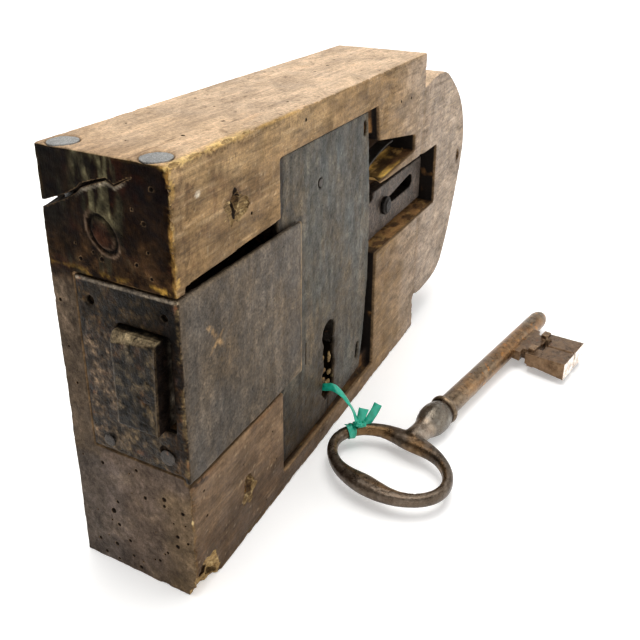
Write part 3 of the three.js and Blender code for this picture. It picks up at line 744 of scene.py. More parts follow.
# painted shade: recess surfaces grow darker deeper than y 4.5 to 9 mm
deep_recess_shade = step(y, 4.5, 9)
rec = over(rec, lin(44, 30, 19), deep_recess_shade * 0.75)
pocketfloor = ((x > 146) & (x < 190) & (z > 99) & (z < 108) & (n[:, 2] > 0.5)).astype(float)
rec = over(rec, lin(214, 168, 84), pocketfloor * step(med, -0.35, 0.25))
windowfloor = ((x > 142) & (x < 226) & (z > 62) & (z < 69.5) & (n[:, 2] > 0.5)).astype(float)
rec = over(rec, lin(168, 124, 76), windowfloor * step(med, -0.5, 0.2))
# painted shade: recess walls facing -x, away from the sun, go near black in patches
away_wall_shade = ledge * step(-n[:, 0], 0.45, 0.8)
rec = over(rec, lin(20, 13, 8), away_wall_shade * step(0.55 - med, -0.1, 0.2))
# painted shade: downward-facing recess surfaces darkened
rec = over(rec, lin(26, 17, 11), step(-n[:, 2], 0.4, 0.8) * 0.8)
low = (z < 16) & (n[:, 2] > 0.4)
rec = over(rec, lin(58, 42, 24), low * step(fbm(p, (7, 4, 4), 67, 4), -0.4, 0.2) * 0.9)
rec = over(rec, lin(128, 98, 52), low * step(fbm(p, (5, 3, 3), 68, 4), 0.22, 0.5) * 0.8)
flr = step(n[:, 2], 0.35, 0.7) * step(z, 55, 62)
rec = over(rec, lin(50, 33, 18), flr * step(fbm(p, (7, 3, 3), 77, 4), -0.1, 0.15) * 0.75)
rec = over(rec, lin(176, 138, 82), flr * step(fbm(p, (5, 2.2, 2.2), 78, 4), 0.22, 0.4) * 0.7)
rec = over(rec, lin(48, 39, 30), step(3.2 - x, 0, 1) * 0.9)
# painted light: upward-facing ledges above z 84-90 and right of x 140-150 brightened 1.7 times
rec = over(rec, rec * 1.7, step(z, 84, 90) * step(x, 140, 150) * step(n[:, 2], 0.3, 0.7))
rec = rec * (1 - 0.5 * step(x, 98, 108) * step(152 - x, 0, 4) * step(24 - z, 0, 3))[:, None]
rec = over(rec, lin(22, 14, 9), step(x, 138.5, 140.5) * step(151 - x, 0, 2) * step(104 - z, 0, 4) * step(0.5 - med, -0.1, 0.2) * 0.85)
col = over(col, rec, ledge)
# rubbed pale arrises
zone = 0.16 + 0.6 * step(90 - x, 0, 40) * (z > 145) * (y < 6) + 0.6 * (x < 4) * (y < 5) * step(z, 108, 114) + 0.35 * (x < 5) * (y < 5) * (z < 46)
col = over(col, lin(190, 152, 88), step(ed + 1.4 * med, 1.3, 0.2) * np.clip(zone, 0, 1) * (1 - ledge) * (1 - 0.7 * (end > 0.5)) * (1 - 0.85 * ((x < 3) & (z < 113) & (y > 2.5))))
gr = fbm(p, (34, 14, 14), 66, 5, 0.62)
col = over(col, lin(84, 62, 42), front * step(gr, 0.12, 0.6) * 0.45)
col = over(col, lin(70, 50, 34), front * step(ed + 5 * gr, 5, 0) * step(z, 146, 140) * 0.25)
col = over(col, lin(186, 146, 80), step(abs(z - 149.3) + 2.0 * abs(med), 2.0, 0.3) * step(4 - y, 0, 2) * step(52 - x, 0, 26) * 0.65)
jag = fbm(p, (1.6, 1.6, 3.2), 71, 4, 0.6)
gold = step(0.55 + 1.7 * step(z, 130, 146) - x + 3.4 * jag, 0, 0.6) * step(x, -1, 0.2) * front * step(z, 109, 113)
col = over(col, lin(206, 166, 92), gold * step(fbm(p, (1.2, 1.2, 2.0), 72, 3), -0.5, 0.0) * 0.85)
col = over(col, lin(150, 112, 58), step(1.3 - y + 1.6 * jag, 0, 0.7) * end * step(z, 108, 112) * 0.7)
col = over(col, lin(112, 84, 48), step(1.6 - x + 1.6 * jag, 0, 0.8) * front * step(48 - z, 0, 2) * 0.5)
col = over(col, lin(60, 42, 26), step(abs(x - 4.6 + 3.0 * jag), 0.7, 0.1) * front * step(z, 112, 116) * 0.5)
tear = step(abs(z - 147.9 + 2.2 * jag - 0.25 * med), 0.45, 0.1) * front * step(70 - x, 0, 30)
col = over(col, lin(70, 50, 30), tear * 0.6)
col = over(col, lin(226, 192, 124), step(z + 1.8 * jag, 148.4, 149.2) * step(2.5 - y, 0, 1) * step(46 - x, 0, 20) * step(fbm(p, (2.2, 1.5, 1.5), 73, 3), -0.3, 0.1) * 0.8)
col = over(col, lin(64, 45, 28), front * step(abs(gr + 0.4 * med - 0.02), 0.06, 0.0) * 0.35)
col = over(col, lin(214, 204, 184), front * step(np.hypot((x - 11.9) / 1.5, (z - 138.6) / 1.1), 1.0, 0.6) * 0.85)
col = over(col, lin(92, 64, 42), front * step(fbm(p, (5, 3, 7), 86, 4, 0.6), 0.12, 0.4) * step(46 - x, 0, 30) * step(z, 108, 112) * 0.5)
col = over(col, lin(24, 16, 10), front * step(abs(z - 46.2 + 0.3 * x + 1.5 * jag), 1.0, 0.4) * step(10 - x, 0, 2) * 0.85)
col = over(col, lin(84, 78, 76), end * step(y + 5 * med, 22, 34) * step(46 - z, 0, 4) * 0.4)
col = over(col, lin(108, 88, 60), end * step(17 - y + 5 * med, 0, 10) * step(44 - z, 0, 6) * 0.4)
rear = np.clip(1 - front - end - top - ledge, 0, 1)
gl = fbm(p, (80, 3.2, 2.6), 76, 4, 0.6)
gl2 = fbm(p, (50, 1.5, 1.3), 84, 3, 0.6)
rear_c = lin(102, 80, 56) * np.clip(np.exp(1.9 * gl + 1.3 * gl2 + 0.4 * big), 0.35, 2.0)[:, None]
rear_c = over(rear_c, lin(50, 35, 22), step(gl, 0.16, 0.35) * 0.65)
rear_c = over(rear_c, lin(44, 30, 18), step(abs(gl2 - 0.05), 0.03, 0.0) * 0.5)
rear_c = over(rear_c, lin(150, 124, 92), step(-gl + 0.5 * med, 0.3, 0.6) * 0.4)
ring = np.sin((np.hypot(y + 46, (z - 64) * 0.8) + 2.2 * med + 0.6 * fin) * 2.4)
far_e = rear * step(x + 10 * abs(n[:, 0]), 215, 225) * step(n[:, 0], 0.2, 0.6)
rear_c = over(rear_c, lin(108, 84, 58) * (1 + 0.3 * big)[:, None], far_e * 0.85)
rear_c = rear_c * (1 - 0.45 * far_e * step(ring, 0.0, 0.9))[:, None]
col = over(col, rear_c, rear * 0.85)
speck = step(fbm(p, (1.1, 1.1, 1.1), 74, 2), 0.62, 0.75)
col = over(col, lin(206, 184, 150), speck * front * 0.32)
speck = step(fbm(p, (1.3, 1.3, 1.3), 75, 2), 0.6, 0.72)
col = over(col, lin(60, 42, 28), speck * (front + top) * 0.55)
scr1 = fbm(p, (16, 4, 0.9), 88, 3, 0.6)
scr2 = fbm(p, (0.9, 4, 14), 89, 3, 0.6)
hi_ = 0.3 + 0.7 * step(z, 60, 110)
col = over(col, lin(70, 50, 32), front * step(scr1, 0.34, 0.5) * 0.34 * hi_)
col = over(col, lin(196, 170, 132), front * step(-scr1, 0.36, 0.5) * 0.26 * hi_)
col = over(col, lin(84, 60, 40), front * step(scr2, 0.36, 0.52) * 0.22 * hi_)
col = over(col, lin(188, 160, 122), front * step(-scr2, 0.38, 0.52) * 0.12 * hi_)
col = col * (1 + 0.13 * big + 0.16 * med)[:, None]
col = col * np.clip(np.exp((0.65 + 0.95 * step(z, 60, 110)) * end * fbm(p, (3.0, 2.4, 2.6), 79, 5, 0.68) + 0.5 * front * fbm(p, (4.5, 3, 2.2), 80, 5, 0.65)), 0.45, 2.2)[:, None]
# dark stain spots by the fixing holes
for hx, hz in ((29.8, 129.6), (31.8, 20.1), (263.4, 81.5)):
    dd = np.hypot(x - hx, (z - hz) * 0.8) + 1.4 * med
    col = over(col, lin(74, 50, 30), step(dd, 5.2, 3.2) * front * 0.6)
color_attribute(me, "col", np.clip(col, 0.002, 1))
float_attribute(me, "endf", np.clip(end + 0.8 * (y > 46) * (x < 0.4), 0, 1))
float_attribute(me, "fine", np.clip(0.35 + 0.65 * (top + front * step(ed, 12, 2)) - 0.9 * end, 0, 1))
me.materials.append(M_ENDW)
fm_ = np.empty(len(me.polygons), np.int32)
me.polygons.foreach_get("material_index", fm_)
fc, fn = np.empty(len(me.polygons) * 3), np.empty(len(me.polygons) * 3)
me.polygons.foreach_get("center", fc)
me.polygons.foreach_get("normal", fn)
fc = fc.reshape(-1, 3) / MM - np.array([OX, OY, 0])
fn = fn.reshape(-1, 3)
fm_[(fc[:, 0] < 2.5) & (fn[:, 0] < -0.55) & (fm_ == 0)] = len(me.materials) - 1
me.polygons.foreach_set("material_index", fm_)
shade(wood)
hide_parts("wood_stock")
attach(wood, "stock")


# ------------------------------------------------------------------ iron pieces, from their CAD solids
def refined(name, node, body, voxel, mat, disp, tint=None, rounds=2, cutters=(), shape=None):
    o = remeshed(name, welded(nodes[node].data.copy()), voxel)
    me = o.data
    q = laplace(me, coords(me), rounds, 0.5)
    if shape:
        q = shape(q)
    set_coords(me, q)
    nn = normals(me)
    q = q + nn * disp(q, nn)[:, None]
    set_coords(me, q)
    me.materials.clear()
    me.materials.append(mat)
    for c in cutters:
        cut(o, c)
    me = o.data
    q, nn = coords(me), normals(me)
    t = np.ones((len(q), 3)) if tint is None else tint(q, nn)
    color_attribute(me, "col", np.clip(t, 0, 8))
    shade(o)
    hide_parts(node)
    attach(o, body)
    return o


def sheet_disp(q, nn):
    d = 0.07 * fbm(q, 24, 71, 3) + 0.05 * fbm(q, 3.2, 72, 3) - 0.12 * step(noise(q, 1.6, 73), 0.45, 0.8)
    return np.minimum(d, 0.02) - 0.02


def leaf_tint(q, nn):
    x, y, z = q.T
    b = fbm(q, (18, 18, 40), 81, 4)
    t = 1 + 0.28 * b
    t = np.repeat(t[:, None], 3, 1)
    endl = step(x, 1.2, 0.3) * step(-nn[:, 0], 0.4, 0.8)
    # painted highlight: thin bright line along the leaf's right edge
    t = over(t, (2.7, 2.35, 1.6), step(x, 70.9, 71.7) * step(b, -0.9, -0.3) * (1 - endl) * 0.85)
    hue = fbm(q, (11, 11, 20), 87, 4)
    t = t * (1 + hue[:, None] * np.array((0.16, 0.02, -0.22)))
    # painted highlight: the leaf's right, lower and upper edges lightened
    edge = step(np.minimum.reduce([abs(x - 72.6), abs(z - 46.2) + 0 * x, abs(z - 109.8)]), 1.6, 0.2)
    t = over(t, (1.5, 1.38, 1.1), edge * 0.4 * (1 - endl))
    t = over(t, (0.72, 0.66, 0.56), step(x, 5.0, 0.5) * (1 - endl) * 0.75)
    scr = step(abs((x - 16) * 0.75 + (z - 91) * 0.5 + 1.8 * b), 1.2, 0.2) * step(np.hypot(x - 16, z - 91), 9, 5)
    scr = np.maximum(scr, step(abs((x - 18) * 0.5 - (z - 90) * 0.8 + 1.8 * b), 1.0, 0.2) * step(np.hypot(x - 17, z - 91), 7, 4))
    t = over(t, (3.3, 2.7, 1.75), scr * step(fbm(q, (2, 2, 2), 86, 3), -0.4, 0.0) * 0.8 * (1 - endl))
    st_ = fbm(q, (4.5, 4.5, 20), 82, 4, 0.6)
    t = t * np.exp(0.5 * st_ + 0.55 * fbm(q, (2.6, 2.6, 3.4), 102, 5, 0.65))[:, None]
    t = t * np.array((0.66, 0.585, 0.52))
    mot2 = fbm(q, (1.4, 1.4, 1.8), 100, 4, 0.68)
    mot = fbm(q, (3.4, 3.4, 3.4), 83, 5, 0.7)
    e = np.tile(np.array((0.62, 0.56, 0.46)), (len(q), 1)) * np.clip(1 + 0.9 * mot, 0.3, 2.2)[:, None]
    e = over(e, (0.95, 0.84, 0.8), step(y - 0.3 * (90 - z) + 8 * mot, 12, 26) * 0.6)
    e = over(e, (0.4, 0.26, 0.13), step(9.5 - y + 3 * mot, 0, 5) * 0.75)
    e = over(e, (1.1, 0.6, 0.3), step(fbm(q, (5, 5, 5), 84, 4), 0.3, 0.6) * step(z, 92, 96) * 0.5)
    e = over(e, (0.26, 0.24, 0.19), step(z, 97, 107) * step(mot, 0.3, -0.3) * 0.6)
    e = e * over(np.full_like(e, 0.86), (0.31, 0.28, 0.2), step(z + 5 * mot, 86, 100))
    e = e * np.clip(np.exp(3.0 * mot2 + 1.4 * mot), 0.2, 3.2)[:, None] * np.array((0.86, 0.8, 0.68))
    e = e * over(np.ones_like(e), (0.62, 0.54, 0.42), step(11.0 - y + 4 * mot, 0, 4) * step(z, 52, 60))
    # painted highlight: near-white line along the end leaf's top edge
    e = over(e, (3.2, 3.2, 3.0), step(z, 109.4, 109.7) * 0.7)
    e = over(e, (2.6, 2.2, 1.3), step(2.0 - y, 0, 1.2) * step(mot, -0.1, 0.3) * 0.5)
    t = over(t, e, endl)
    t = over(t, (0.26, 0.22, 0.18), step(2.8 - x, 0, 0.6) * (1 - endl) * step(y, 3.0, 4.0) * 0.9)
    hx = np.minimum(np.hypot(y - 31, z - 53.8) - 2.0, np.hypot(y - 7.8, z - 54.6) - 2.6)
    t = over(t, (0.06, 0.05, 0.04), endl * step(abs(hx), 0.7, 0.2) * 0.6)
    return t


def cover_tint(q, nn):
    x, y, z = q.T
    b = fbm(q, (14, 14, 34), 85, 4)
    t = np.repeat((1 + 0.22 * b)[:, None], 3, 1)
    t = t * over(np.ones_like(t), (0.94, 1.0, 1.09), step(x + z * 0.4, 130, 180) * 0.8)
    hue = fbm(q, (9, 9, 18), 88, 4)
    t = t * (1 + hue[:, None] * np.array((0.22, 0.02, -0.25)))
    sc = step(fbm(q, (3.5, 3.5, 9), 89, 4), 0.32, 0.5) * step(fbm(q, (22, 22, 30), 90, 2), -0.1, 0.3)
    t = over(t, (1.7, 1.62, 1.45), sc * 0.45)
    t = over(t, (0.57, 0.42, 0.23), step(46 - z + 9 * b, 0, 26) * step(118 - x + 8 * b, -6, 20) * 0.9)
    t = over(t, (0.38, 0.25, 0.12), step(20 - z + 6 * b, 0, 10) * 0.7)
    t = over(t, (0.5, 0.36, 0.24), step(np.hypot(x - 99.5, (z - 34) * 0.42) + 3 * b, 11.5, 5.0) * 0.75)
    t = over(t, (1.35, 1.28, 1.1), step(2.2 - abs(x - (139.6 - 0.0012 * (z - 72) ** 2)), 0, 1.4) * 0.35)
    pale = step(np.hypot((x - 92) / 8.0, (z - 64) / 9.0) + 0.9 * b, 1.0, 0.4)
    t = over(t, (1.5, 1.42, 1.25), pale * 0.35)
    t = over(t, (0.28, 0.23, 0.18), step(4.4 + 3.0 * fbm(q, (2, 2, 3.5), 104, 4) - (x - 58.5), 0, 0.9) * 0.9)
    # painted shadow: dark strip on the cover just right of the leaf's edge, below z 109.5
    t = over(t, (0.3, 0.24, 0.18), step(1.7 - abs(x - 74.4), 0, 0.5) * step(109.5 - z, 0, 1) * 0.8)
    t = over(t, (0.45, 0.37, 0.3), step(abs(x - 91 + 0.3 * b), 0.6, 0.1) * step(abs(z - 117), 3.2, 2.2))
    t = over(t, (1.6, 1.55, 1.4), step(abs(x - 92.5 + 2.0 * b) , 1.6, 0.2) * step(np.hypot(x - 91.5, (z - 70) * 0.7), 5.5, 2.5) * step(fbm(q, (1.8, 1.8, 2.6), 91, 3), -0.2, 0.2) * 0.6)
    t = over(t, (1.5, 1.46, 1.35), step(np.hypot(x - 98.5, z - 59), 4.0, 1.6) * step(fbm(q, (1.8, 1.8, 2.6), 92, 3), -0.2, 0.2) * 0.55)
    kh = np.maximum(0, np.hypot(x - 99.5, np.maximum(0, abs(z - 31.5) - 8.5)) - 4.2)
    t = over(t, (0.3, 0.22, 0.15), step(kh + 1.6 * fbm(q, (2, 2, 2.6), 105, 4), 1.8, 0.4) * step(38 - z, 0, 4) * 0.85)
    t = over(t, (2.6, 2.3, 1.7), step(abs(kh - 0.7), 0.5, 0.1) * step(fbm(q, (1.6, 1.6, 1.8), 106, 3), 0.12, 0.3) * step(36 - z, 0, 3) * 0.8)
    t = over(t, (0.22, 0.17, 0.13), step(np.hypot((x - 98.4) / 1.6, (z - 9.5) / 4.6) + 0.7 * b, 1.0, 0.6) * 0.85)
    up = fbm(q, (3.0, 3.0, 26), 93, 4, 0.6)
    t = t * np.exp(0.6 * up + 0.95 * fbm(q, (2.6, 2.6, 3.6), 103, 5, 0.66))[:, None]
    t = over(t, t * np.array((0.92, 1.12, 1.36)), step(fbm(q, (5, 5, 22), 94, 4), -0.05, 0.35) * 0.7)
    t = over(t, t * np.array((1.12, 1.2, 1.34)), step(x, 103, 107) * step(124 - x, 0, 6) * step(70 - z, 0, 20) * 0.6)
    t = over(t, (0.22, 0.17, 0.12), step(abs(fbm(q, (2.2, 2.2, 14), 97, 3)), 0.05, 0.0) * step(fbm(q, (14, 14, 14), 98, 2), -0.1, 0.3) * 0.4)
    return t * np.array((0.42, 0.36, 0.285))


fore = refined("forend_sheet", "forend_plate", "stock", 0.55, M_LEAF, sheet_disp, leaf_tint, cutters=[
    joined("drawn_hole", [cylinder((-0.1, 8.9, 57.2), 2.0, 1.3, (1, 0, 0), sides=14, seed=77, jit=0.12)], M_HOLE_SHADE)])
def flat_block(x0, x1, y0, y1, z0, z1, lean=0.0):
    v = [(x0, y0, z0), (x1, y0, z0), (x1 + lean, y0, z1), (x0 + lean, y0, z1), (x0, y1, z0), (x1, y1, z0), (x1 + lean, y1, z1), (x0 + lean, y1, z1)]
    return v, [(0, 1, 2, 3), (7, 6, 5, 4), (0, 4, 5, 1), (1, 5, 6, 2), (2, 6, 7, 3), (3, 7, 4, 0)]


cover = refined("cover_sheet", "cover_plate", "stock", 0.5, M_COVER, sheet_disp, cover_tint, cutters=[
    joined("slit", [flat_block(78.6, 79.4, 1.0, 2.7, 44.2, 54.0, 0.1), flat_block(90.4, 90.9, 1.0, 2.5, 114.8, 119.0, 0.6), flat_block(98.3, 98.8, 1.0, 3.2, 7.0, 18.4, 1.0)], M_HOLE_SHADE),
    blob((96.6, 2.6, 33.5), (1.5, 1.8, 2.2), 0.6, 601, M_HOLE_SHADE, 3), blob((102.4, 2.6, 29.0), (1.4, 1.8, 3.0), 0.6, 602, M_HOLE_SHADE, 3), blob((96.2, 2.6, 25.0), (1.3, 1.8, 2.4), 0.6, 603, M_HOLE_SHADE, 3),
    blob((97.6, 2.6, 18.6), (1.5, 1.8, 2.6), 0.6, 604, M_HOLE_SHADE, 3), blob((102.0, 2.6, 38.4), (0.9, 1.8, 1.4), 0.6, 605, M_HOLE_SHADE, 3),
    blob((142.6, 2.2, 42.0), (1.5, 1.8, 5.2), 0.35, 606, M_HOLE_SHADE, 3)])


def bolt_disp(q, nn):
    head = (q[:, 0] < 3)
    d = 0.10 * fbm(q, 9, 91, 3) + 0.12 * fbm(q, 2.6, 92, 4) * (0.4 + 0.6 * head) - 0.3 * step(noise(q, 1.9, 93), 0.4, 0.8) * head
    return np.minimum(d, 0.0) - 0.03


def bolt_tint(q, nn):
    x, y, z = q.T
    b = fbm(q, (6, 6, 6), 95, 4)
    t = np.repeat((1 + 0.5 * b)[:, None], 3, 1)
    tail = step(x, 60, 90)
    head = step(3 - x, 0, 2)
    mot = fbm(q, (3.0, 3.0, 3.0), 99, 5, 0.7)
    t = over(t, np.tile(np.array((0.25, 0.215, 0.165)), (len(q), 1)) * np.clip(1 + 1.7 * mot, 0.2, 3.2)[:, None], head)
    t = over(t, (0.42, 0.4, 0.38), head * step(y - 0.35 * (80 - z) + 7 * mot, 13, 24) * 0.5)
    t = over(t, (0.32, 0.15, 0.06), head * step(fbm(q, (4, 4, 6), 98, 4), 0.15, 0.45) * 0.6)
    t = t * over(np.ones_like(t), np.tile(0.66 * np.clip(np.exp(4.6 * fbm(q, (1.5, 1.5, 2.0), 101, 4, 0.7) + 1.6 * mot), 0.15, 3.0)[:, None], (1, 3)) * np.array((0.92, 0.9, 0.83)), head)
    # painted shade: the bolt head's faces turned towards -y go near black
    t = over(t, (0.09, 0.055, 0.04), head * step(-nn[:, 1], 0.3, 0.75))
    t = over(t, np.tile(np.array((0.84, 0.78, 0.83)), (len(q), 1)) * np.clip(1 + 0.12 * mot, 0.6, 1.4)[:, None], tail)
    t = t * (1 + 0.14 * fbm(q, (30, 9, 9), 96, 3))[:, None]
    # painted shade: the walls inside the bolt's slot go near black
    slot_wall_shade = (x > 163) & (x < 209) & (z > 77) & (z < 88) & (abs(nn[:, 1]) < 0.6)
    t = over(t, (0.04, 0.035, 0.03), slot_wall_shade.astype(float))
    t = over(t, (0.25, 0.22, 0.2), step(x, 215, 219) * 0.3)
    # painted highlight: bright strip on the top bevel of the bolt head
    zb = 93.8 + 2.7 * (22.7 - y) / 16.6
    crown_highlight = step(z - zb, -0.1, 0.35) * step(-x, 0.6, 1.6)
    t = over(t, (2.3, 2.1, 1.6), crown_highlight * (0.85 + 0.15 * step(b, -0.7, 0.1)))
    rim = step(abs(y - (6.2 + 1.3 * (97 - z) / 32)), 0.8, 0.1) * (x < -3.2)
    t = over(t, (1.2, 1.0, 0.75), rim * 0.5)
    rim = step(abs(y - 22.6), 0.9, 0.2) * (x < -3.2)
    t = over(t, (1.0, 0.92, 0.8), rim * 0.5)
    return t


def bolt_shape(q):
    q = q.copy()
    x, y, z = q.T
    w = step(8 - x, 0, 5)
    edge = 6.2 + 1.3 * (97 - z) / 32
    q[:, 1] = np.where(y < edge, y + (edge - y) * w * (z > 64) * (x < 27), y)
    zb = 93.8 + 2.7 * (22.7 - q[:, 1]) / 16.6
    lim = -4.2 + 1.9 * np.clip((z - zb) / (97.3 - zb), 0, 1)
    q[:, 0] = np.maximum(x, lim)
    return q


refined("bolt", "deadbolt", "bolt", 0.45, M_BOLT, bolt_disp, bolt_tint, rounds=1, shape=bolt_shape)
refined("spring_leaf", "tumbler_spring", "stock", 0.28, M_SPRING, lambda q, nn: -0.02 + 0 * q[:, 0], rounds=3)
def head_shape(cy, cz, r0, r1):
    def f(q):
        q = q.copy()
        w = (q[:, 0] < 0.4).astype(float)
        k = 1 - w * (1 - r1 / r0)
        q[:, 1] = cy + (q[:, 1] - cy) * k
        q[:, 2] = cz + (q[:, 2] - cz) * k
        q[:, 0] = np.where(q[:, 0] < 0, q[:, 0] * 0.45, q[:, 0])
        return q
    return f


def flush_shape(q):
    q = q.copy()
    q[:, 2] = np.where(q[:, 2] > 148.6, np.minimum(q[:, 2], 149.86), q[:, 2])
    return q


SHAPES = {"nail_a": head_shape(30.8, 53.2, 3.5, 2.0), "nail_b": head_shape(7.6, 55.1, 3.5, 2.5), "clasp_nail_a": flush_shape, "clasp_nail_b": flush_shape}
for nm, node, mt, sl, sc in (("nail_a", "forend_nail_lower_back", M_NAILD, "iron_dark", 1.0), ("nail_b", "forend_nail_lower_front", M_NAILD, "iron_dark", 1.0),
                             ("clasp_nail_a", "top_nail_front", M_NAIL, "iron_plate", 0.3), ("clasp_nail_b", "top_nail_back", M_NAIL, "iron_plate", 0.3)):
    refined(nm, node, "stock", 0.3, mt, lambda q, nn: np.minimum(0, 0.22 * fbm(q, 3.0, 97, 3)) - 0.02, rounds=4, shape=SHAPES[nm])
refined("stud", "guide_stud", "stock", 0.35, M_STUD, lambda q, nn: np.minimum(0, 0.12 * fbm(q, 2.5, 98, 3)) - 0.02, rounds=4)
for node in ("spring_pin", "bolt_staple", "ward_bridge", "ward_ring_front", "ward_ring_back"):
    o = nodes[node]
    o.data.materials.clear()
    o.data.materials.append(M_INNER)

me = fore.data
me.materials.append(M_END)
fm_ = np.empty(len(me.polygons), np.int32)
me.polygons.foreach_get("material_index", fm_)
fc, fn = np.empty(len(me.polygons) * 3), np.empty(len(me.polygons) * 3)
me.polygons.foreach_get("center", fc)
me.polygons.foreach_get("normal", fn)
fc = fc.reshape(-1, 3) / MM - np.array([OX, OY, 0])
fn = fn.reshape(-1, 3)
fm_[(fc[:, 0] < 1.5) & (fn[:, 0] < -0.55) & (fm_ == 0)] = len(me.materials) - 1
me.polygons.foreach_set("material_index", fm_)

# ------------------------------------------------------------------ key
KEY_AT, KEY_ANG = Vector((82.5, -33.5, 7.2)), math.radians(-11.5)
ck, sk = math.cos(KEY_ANG), math.sin(KEY_ANG)


def key_to_lock(q):
    q = np.asarray(q, float)
    return np.stack([KEY_AT.x + ck * q[:, 0] - sk * q[:, 1], KEY_AT.y + sk * q[:, 0] + ck * q[:, 1], KEY_AT.z + q[:, 2]], 1)


def lock_to_key(q):
    a, b = q[:, 0] - KEY_AT.x, q[:, 1] - KEY_AT.y
    return np.stack([ck * a + sk * b, -sk * a + ck * b, q[:, 2] - KEY_AT.z], 1)


def bow_mesh(na=220, nb=28):
    verts, faces = [], []
    for i in range(na):
        a = 2 * math.pi * i / na
        side = abs(math.cos(a)) ** 9
        w, h = 2.15 + 1.75 * side + 0.25 * math.cos(a) ** 2, 2.5 + 0.5 * side
        A, B = 17.6 - 1.45 * side, 24.9
        cx, cy = A * math.cos(a), B * math.sin(a)
        nx, ny = math.cos(a) / A, math.sin(a) / B
        l = math.hypot(nx, ny)
        nx, ny = nx / l, ny / l
        for k in range(nb):
            t = 2 * math.pi * k / nb
            ct, st = math.cos(t), math.sin(t)
            # squarish forged section, flatter on its inner face
            sq = (abs(ct) ** 2.7 + abs(st) ** 2.7) ** (-1 / 2.7)
            verts.append((cx + nx * ct * w * sq, cy + ny * ct * w * sq, st * h * sq))
    for i in range(na):
        for k in range(nb):
            faces.append((i * nb + k, ((i + 1) % na) * nb + k, ((i + 1) % na) * nb + (k + 1) % nb, i * nb + (k + 1) % nb))
    return verts, faces


def turned_mesh(profile, nb=72):
    verts, faces = [(profile[0][1], 0, 0)], []
    rings = [q for q in profile if q[0] > 0]
    for rr, uu in rings:
        for k in range(nb):
            t = 2 * math.pi * k / nb
            verts.append((uu, rr * math.cos(t), rr * math.sin(t)))
    verts.append((profile[-1][1], 0, 0))
    for k in range(nb):
        faces.append((0, 1 + (k + 1) % nb, 1 + k))
    for i in range(len(rings) - 1):
        for k in range(nb):
            a, b = 1 + i * nb + k, 1 + i * nb + (k + 1) % nb
            faces.append((a, b, b + nb, a + nb))
    last = len(verts) - 1
    for k in range(nb):
        a = 1 + (len(rings) - 1) * nb
        faces.append((a + k, a + (k + 1) % nb, last))
    return verts, faces


for i, (c, r) in enumerate((((96.2, 3.5, 36.6), (1.0, 0.8, 1.6)), ((102.6, 3.6, 34.0), (1.5, 0.9, 3.2)), ((96.4, 3.6, 30.4), (1.9, 0.9, 1.2)),
                            ((102.8, 3.5, 26.4), (1.5, 0.8, 1.0)), ((97.0, 3.8, 25.2), (2.6, 0.9, 1.0)), ((101.4, 3.6, 21.8), (2.2, 0.8, 1.1)))):
    o = blob(c, r, 0.75, 720 + i, M_TORN if i % 2 else M_SOCKET, 4)
    o.name = "keyhole_splinter_%d" % i
    shade(o)
    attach(o, "stock")
PROFILE = [(0, 16.2), (3.7, 16.2), (4.5, 19), (4.45, 22), (4.45, 25.2), (4.8, 27.6), (5.75, 29.8), (6.5, 32.6), (6.75, 35.6), (6.55, 38.8), (5.9, 41.2), (5.3, 42.2),
           (6.0, 42.8), (6.55, 43.9), (6.3, 45.2), (5.0, 46.1), (4.7, 50), (4.6, 90), (4.6, 140), (4.45, 145), (3.9, 148.2), (2.6, 150.4), (0, 151.2)]


def spline_profile(pts, sub=5):
    out = []
    for i in range(len(pts) - 1):
        p0, p1, p2, p3 = (np.array(pts[max(0, min(len(pts) - 1, k))], float) for k in (i - 1, i, i + 1, i + 2))
        for t in np.linspace(0, 1, sub, endpoint=False):
            q = 0.5 * ((2 * p1) + (-p0 + p2) * t + (2 * p0 - 5 * p1 + 4 * p2 - p3) * t * t + (-p0 + 3 * p1 - 3 * p2 + p3) * t ** 3)
            out.append((max(0.0, q[0]), q[1]))
    out.append(pts[-1])
    return out


def hexa(x0, x1, y0, y1, za0, za1, zb0, zb1):
    """A block in key coordinates: za at y0, zb at y1."""
    v = [(x0, y0, za0), (x1, y0, za0), (x1, y1, zb0), (x0, y1, zb0), (x0, y0, za1), (x1, y0, za1), (x1, y1, zb1), (x0, y1, zb1)]
    return v, [(3, 2, 1, 0), (4, 5, 6, 7), (0, 1, 5, 4), (1, 2, 6, 5), (2, 3, 7, 6), (3, 0, 4, 7)]


def key_obj(name, vf, mat=None):
    v, f = vf
    return link(bpy.data.objects.new(name, fix(raw(name, key_to_lock(np.array(v, float)), f, mat))))


VK = 0.34
bowv, bowf = bow_mesh()
prof = [q for q in spline_profile(PROFILE) if True]
prof = [(0, prof[0][1])] + [q for q in prof[1:-1] if q[0] > 0.05] + [(0, 151.2)]
tv, tf = turned_mesh(prof)
bit_parts = [hexa(105.5, 131, -30.5, -3, -4.4, 4.4, -2.3, 2.3), hexa(107.7, 112.7, -14.2, -10.8, -5.2, 5.2, -5.2, 5.2), hexa(123.8, 128.8, -14.2, -10.8, -5.2, 5.2, -5.2, 5.2)]


def join_meshes(name, vfs):
    verts, faces = [], []
    for v, f in vfs:
        k = len(verts)
        verts += [tuple(q) for q in v]
        faces += [tuple(i + k for i in g) for g in f]
    return verts, faces


bit0 = key_obj("bit_blank", join_meshes("bit", bit_parts))
bit = remeshed("bit", bit0.data, 0.22)
bpy.data.objects.remove(bit0)
for c in (hexa(117.6, 119.2, -40, -13.0, -9, 9, -9, 9), hexa(112.8, 124.6, -16.4, -13.4, -9, 9, -9, 9), hexa(104.5, 109.5, -10.6, -7.6, -9, 9, -9, 9), hexa(127.0, 132, -10.6, -7.6, -9, 9, -9, 9)):
    cut(bit, key_obj("c", c))
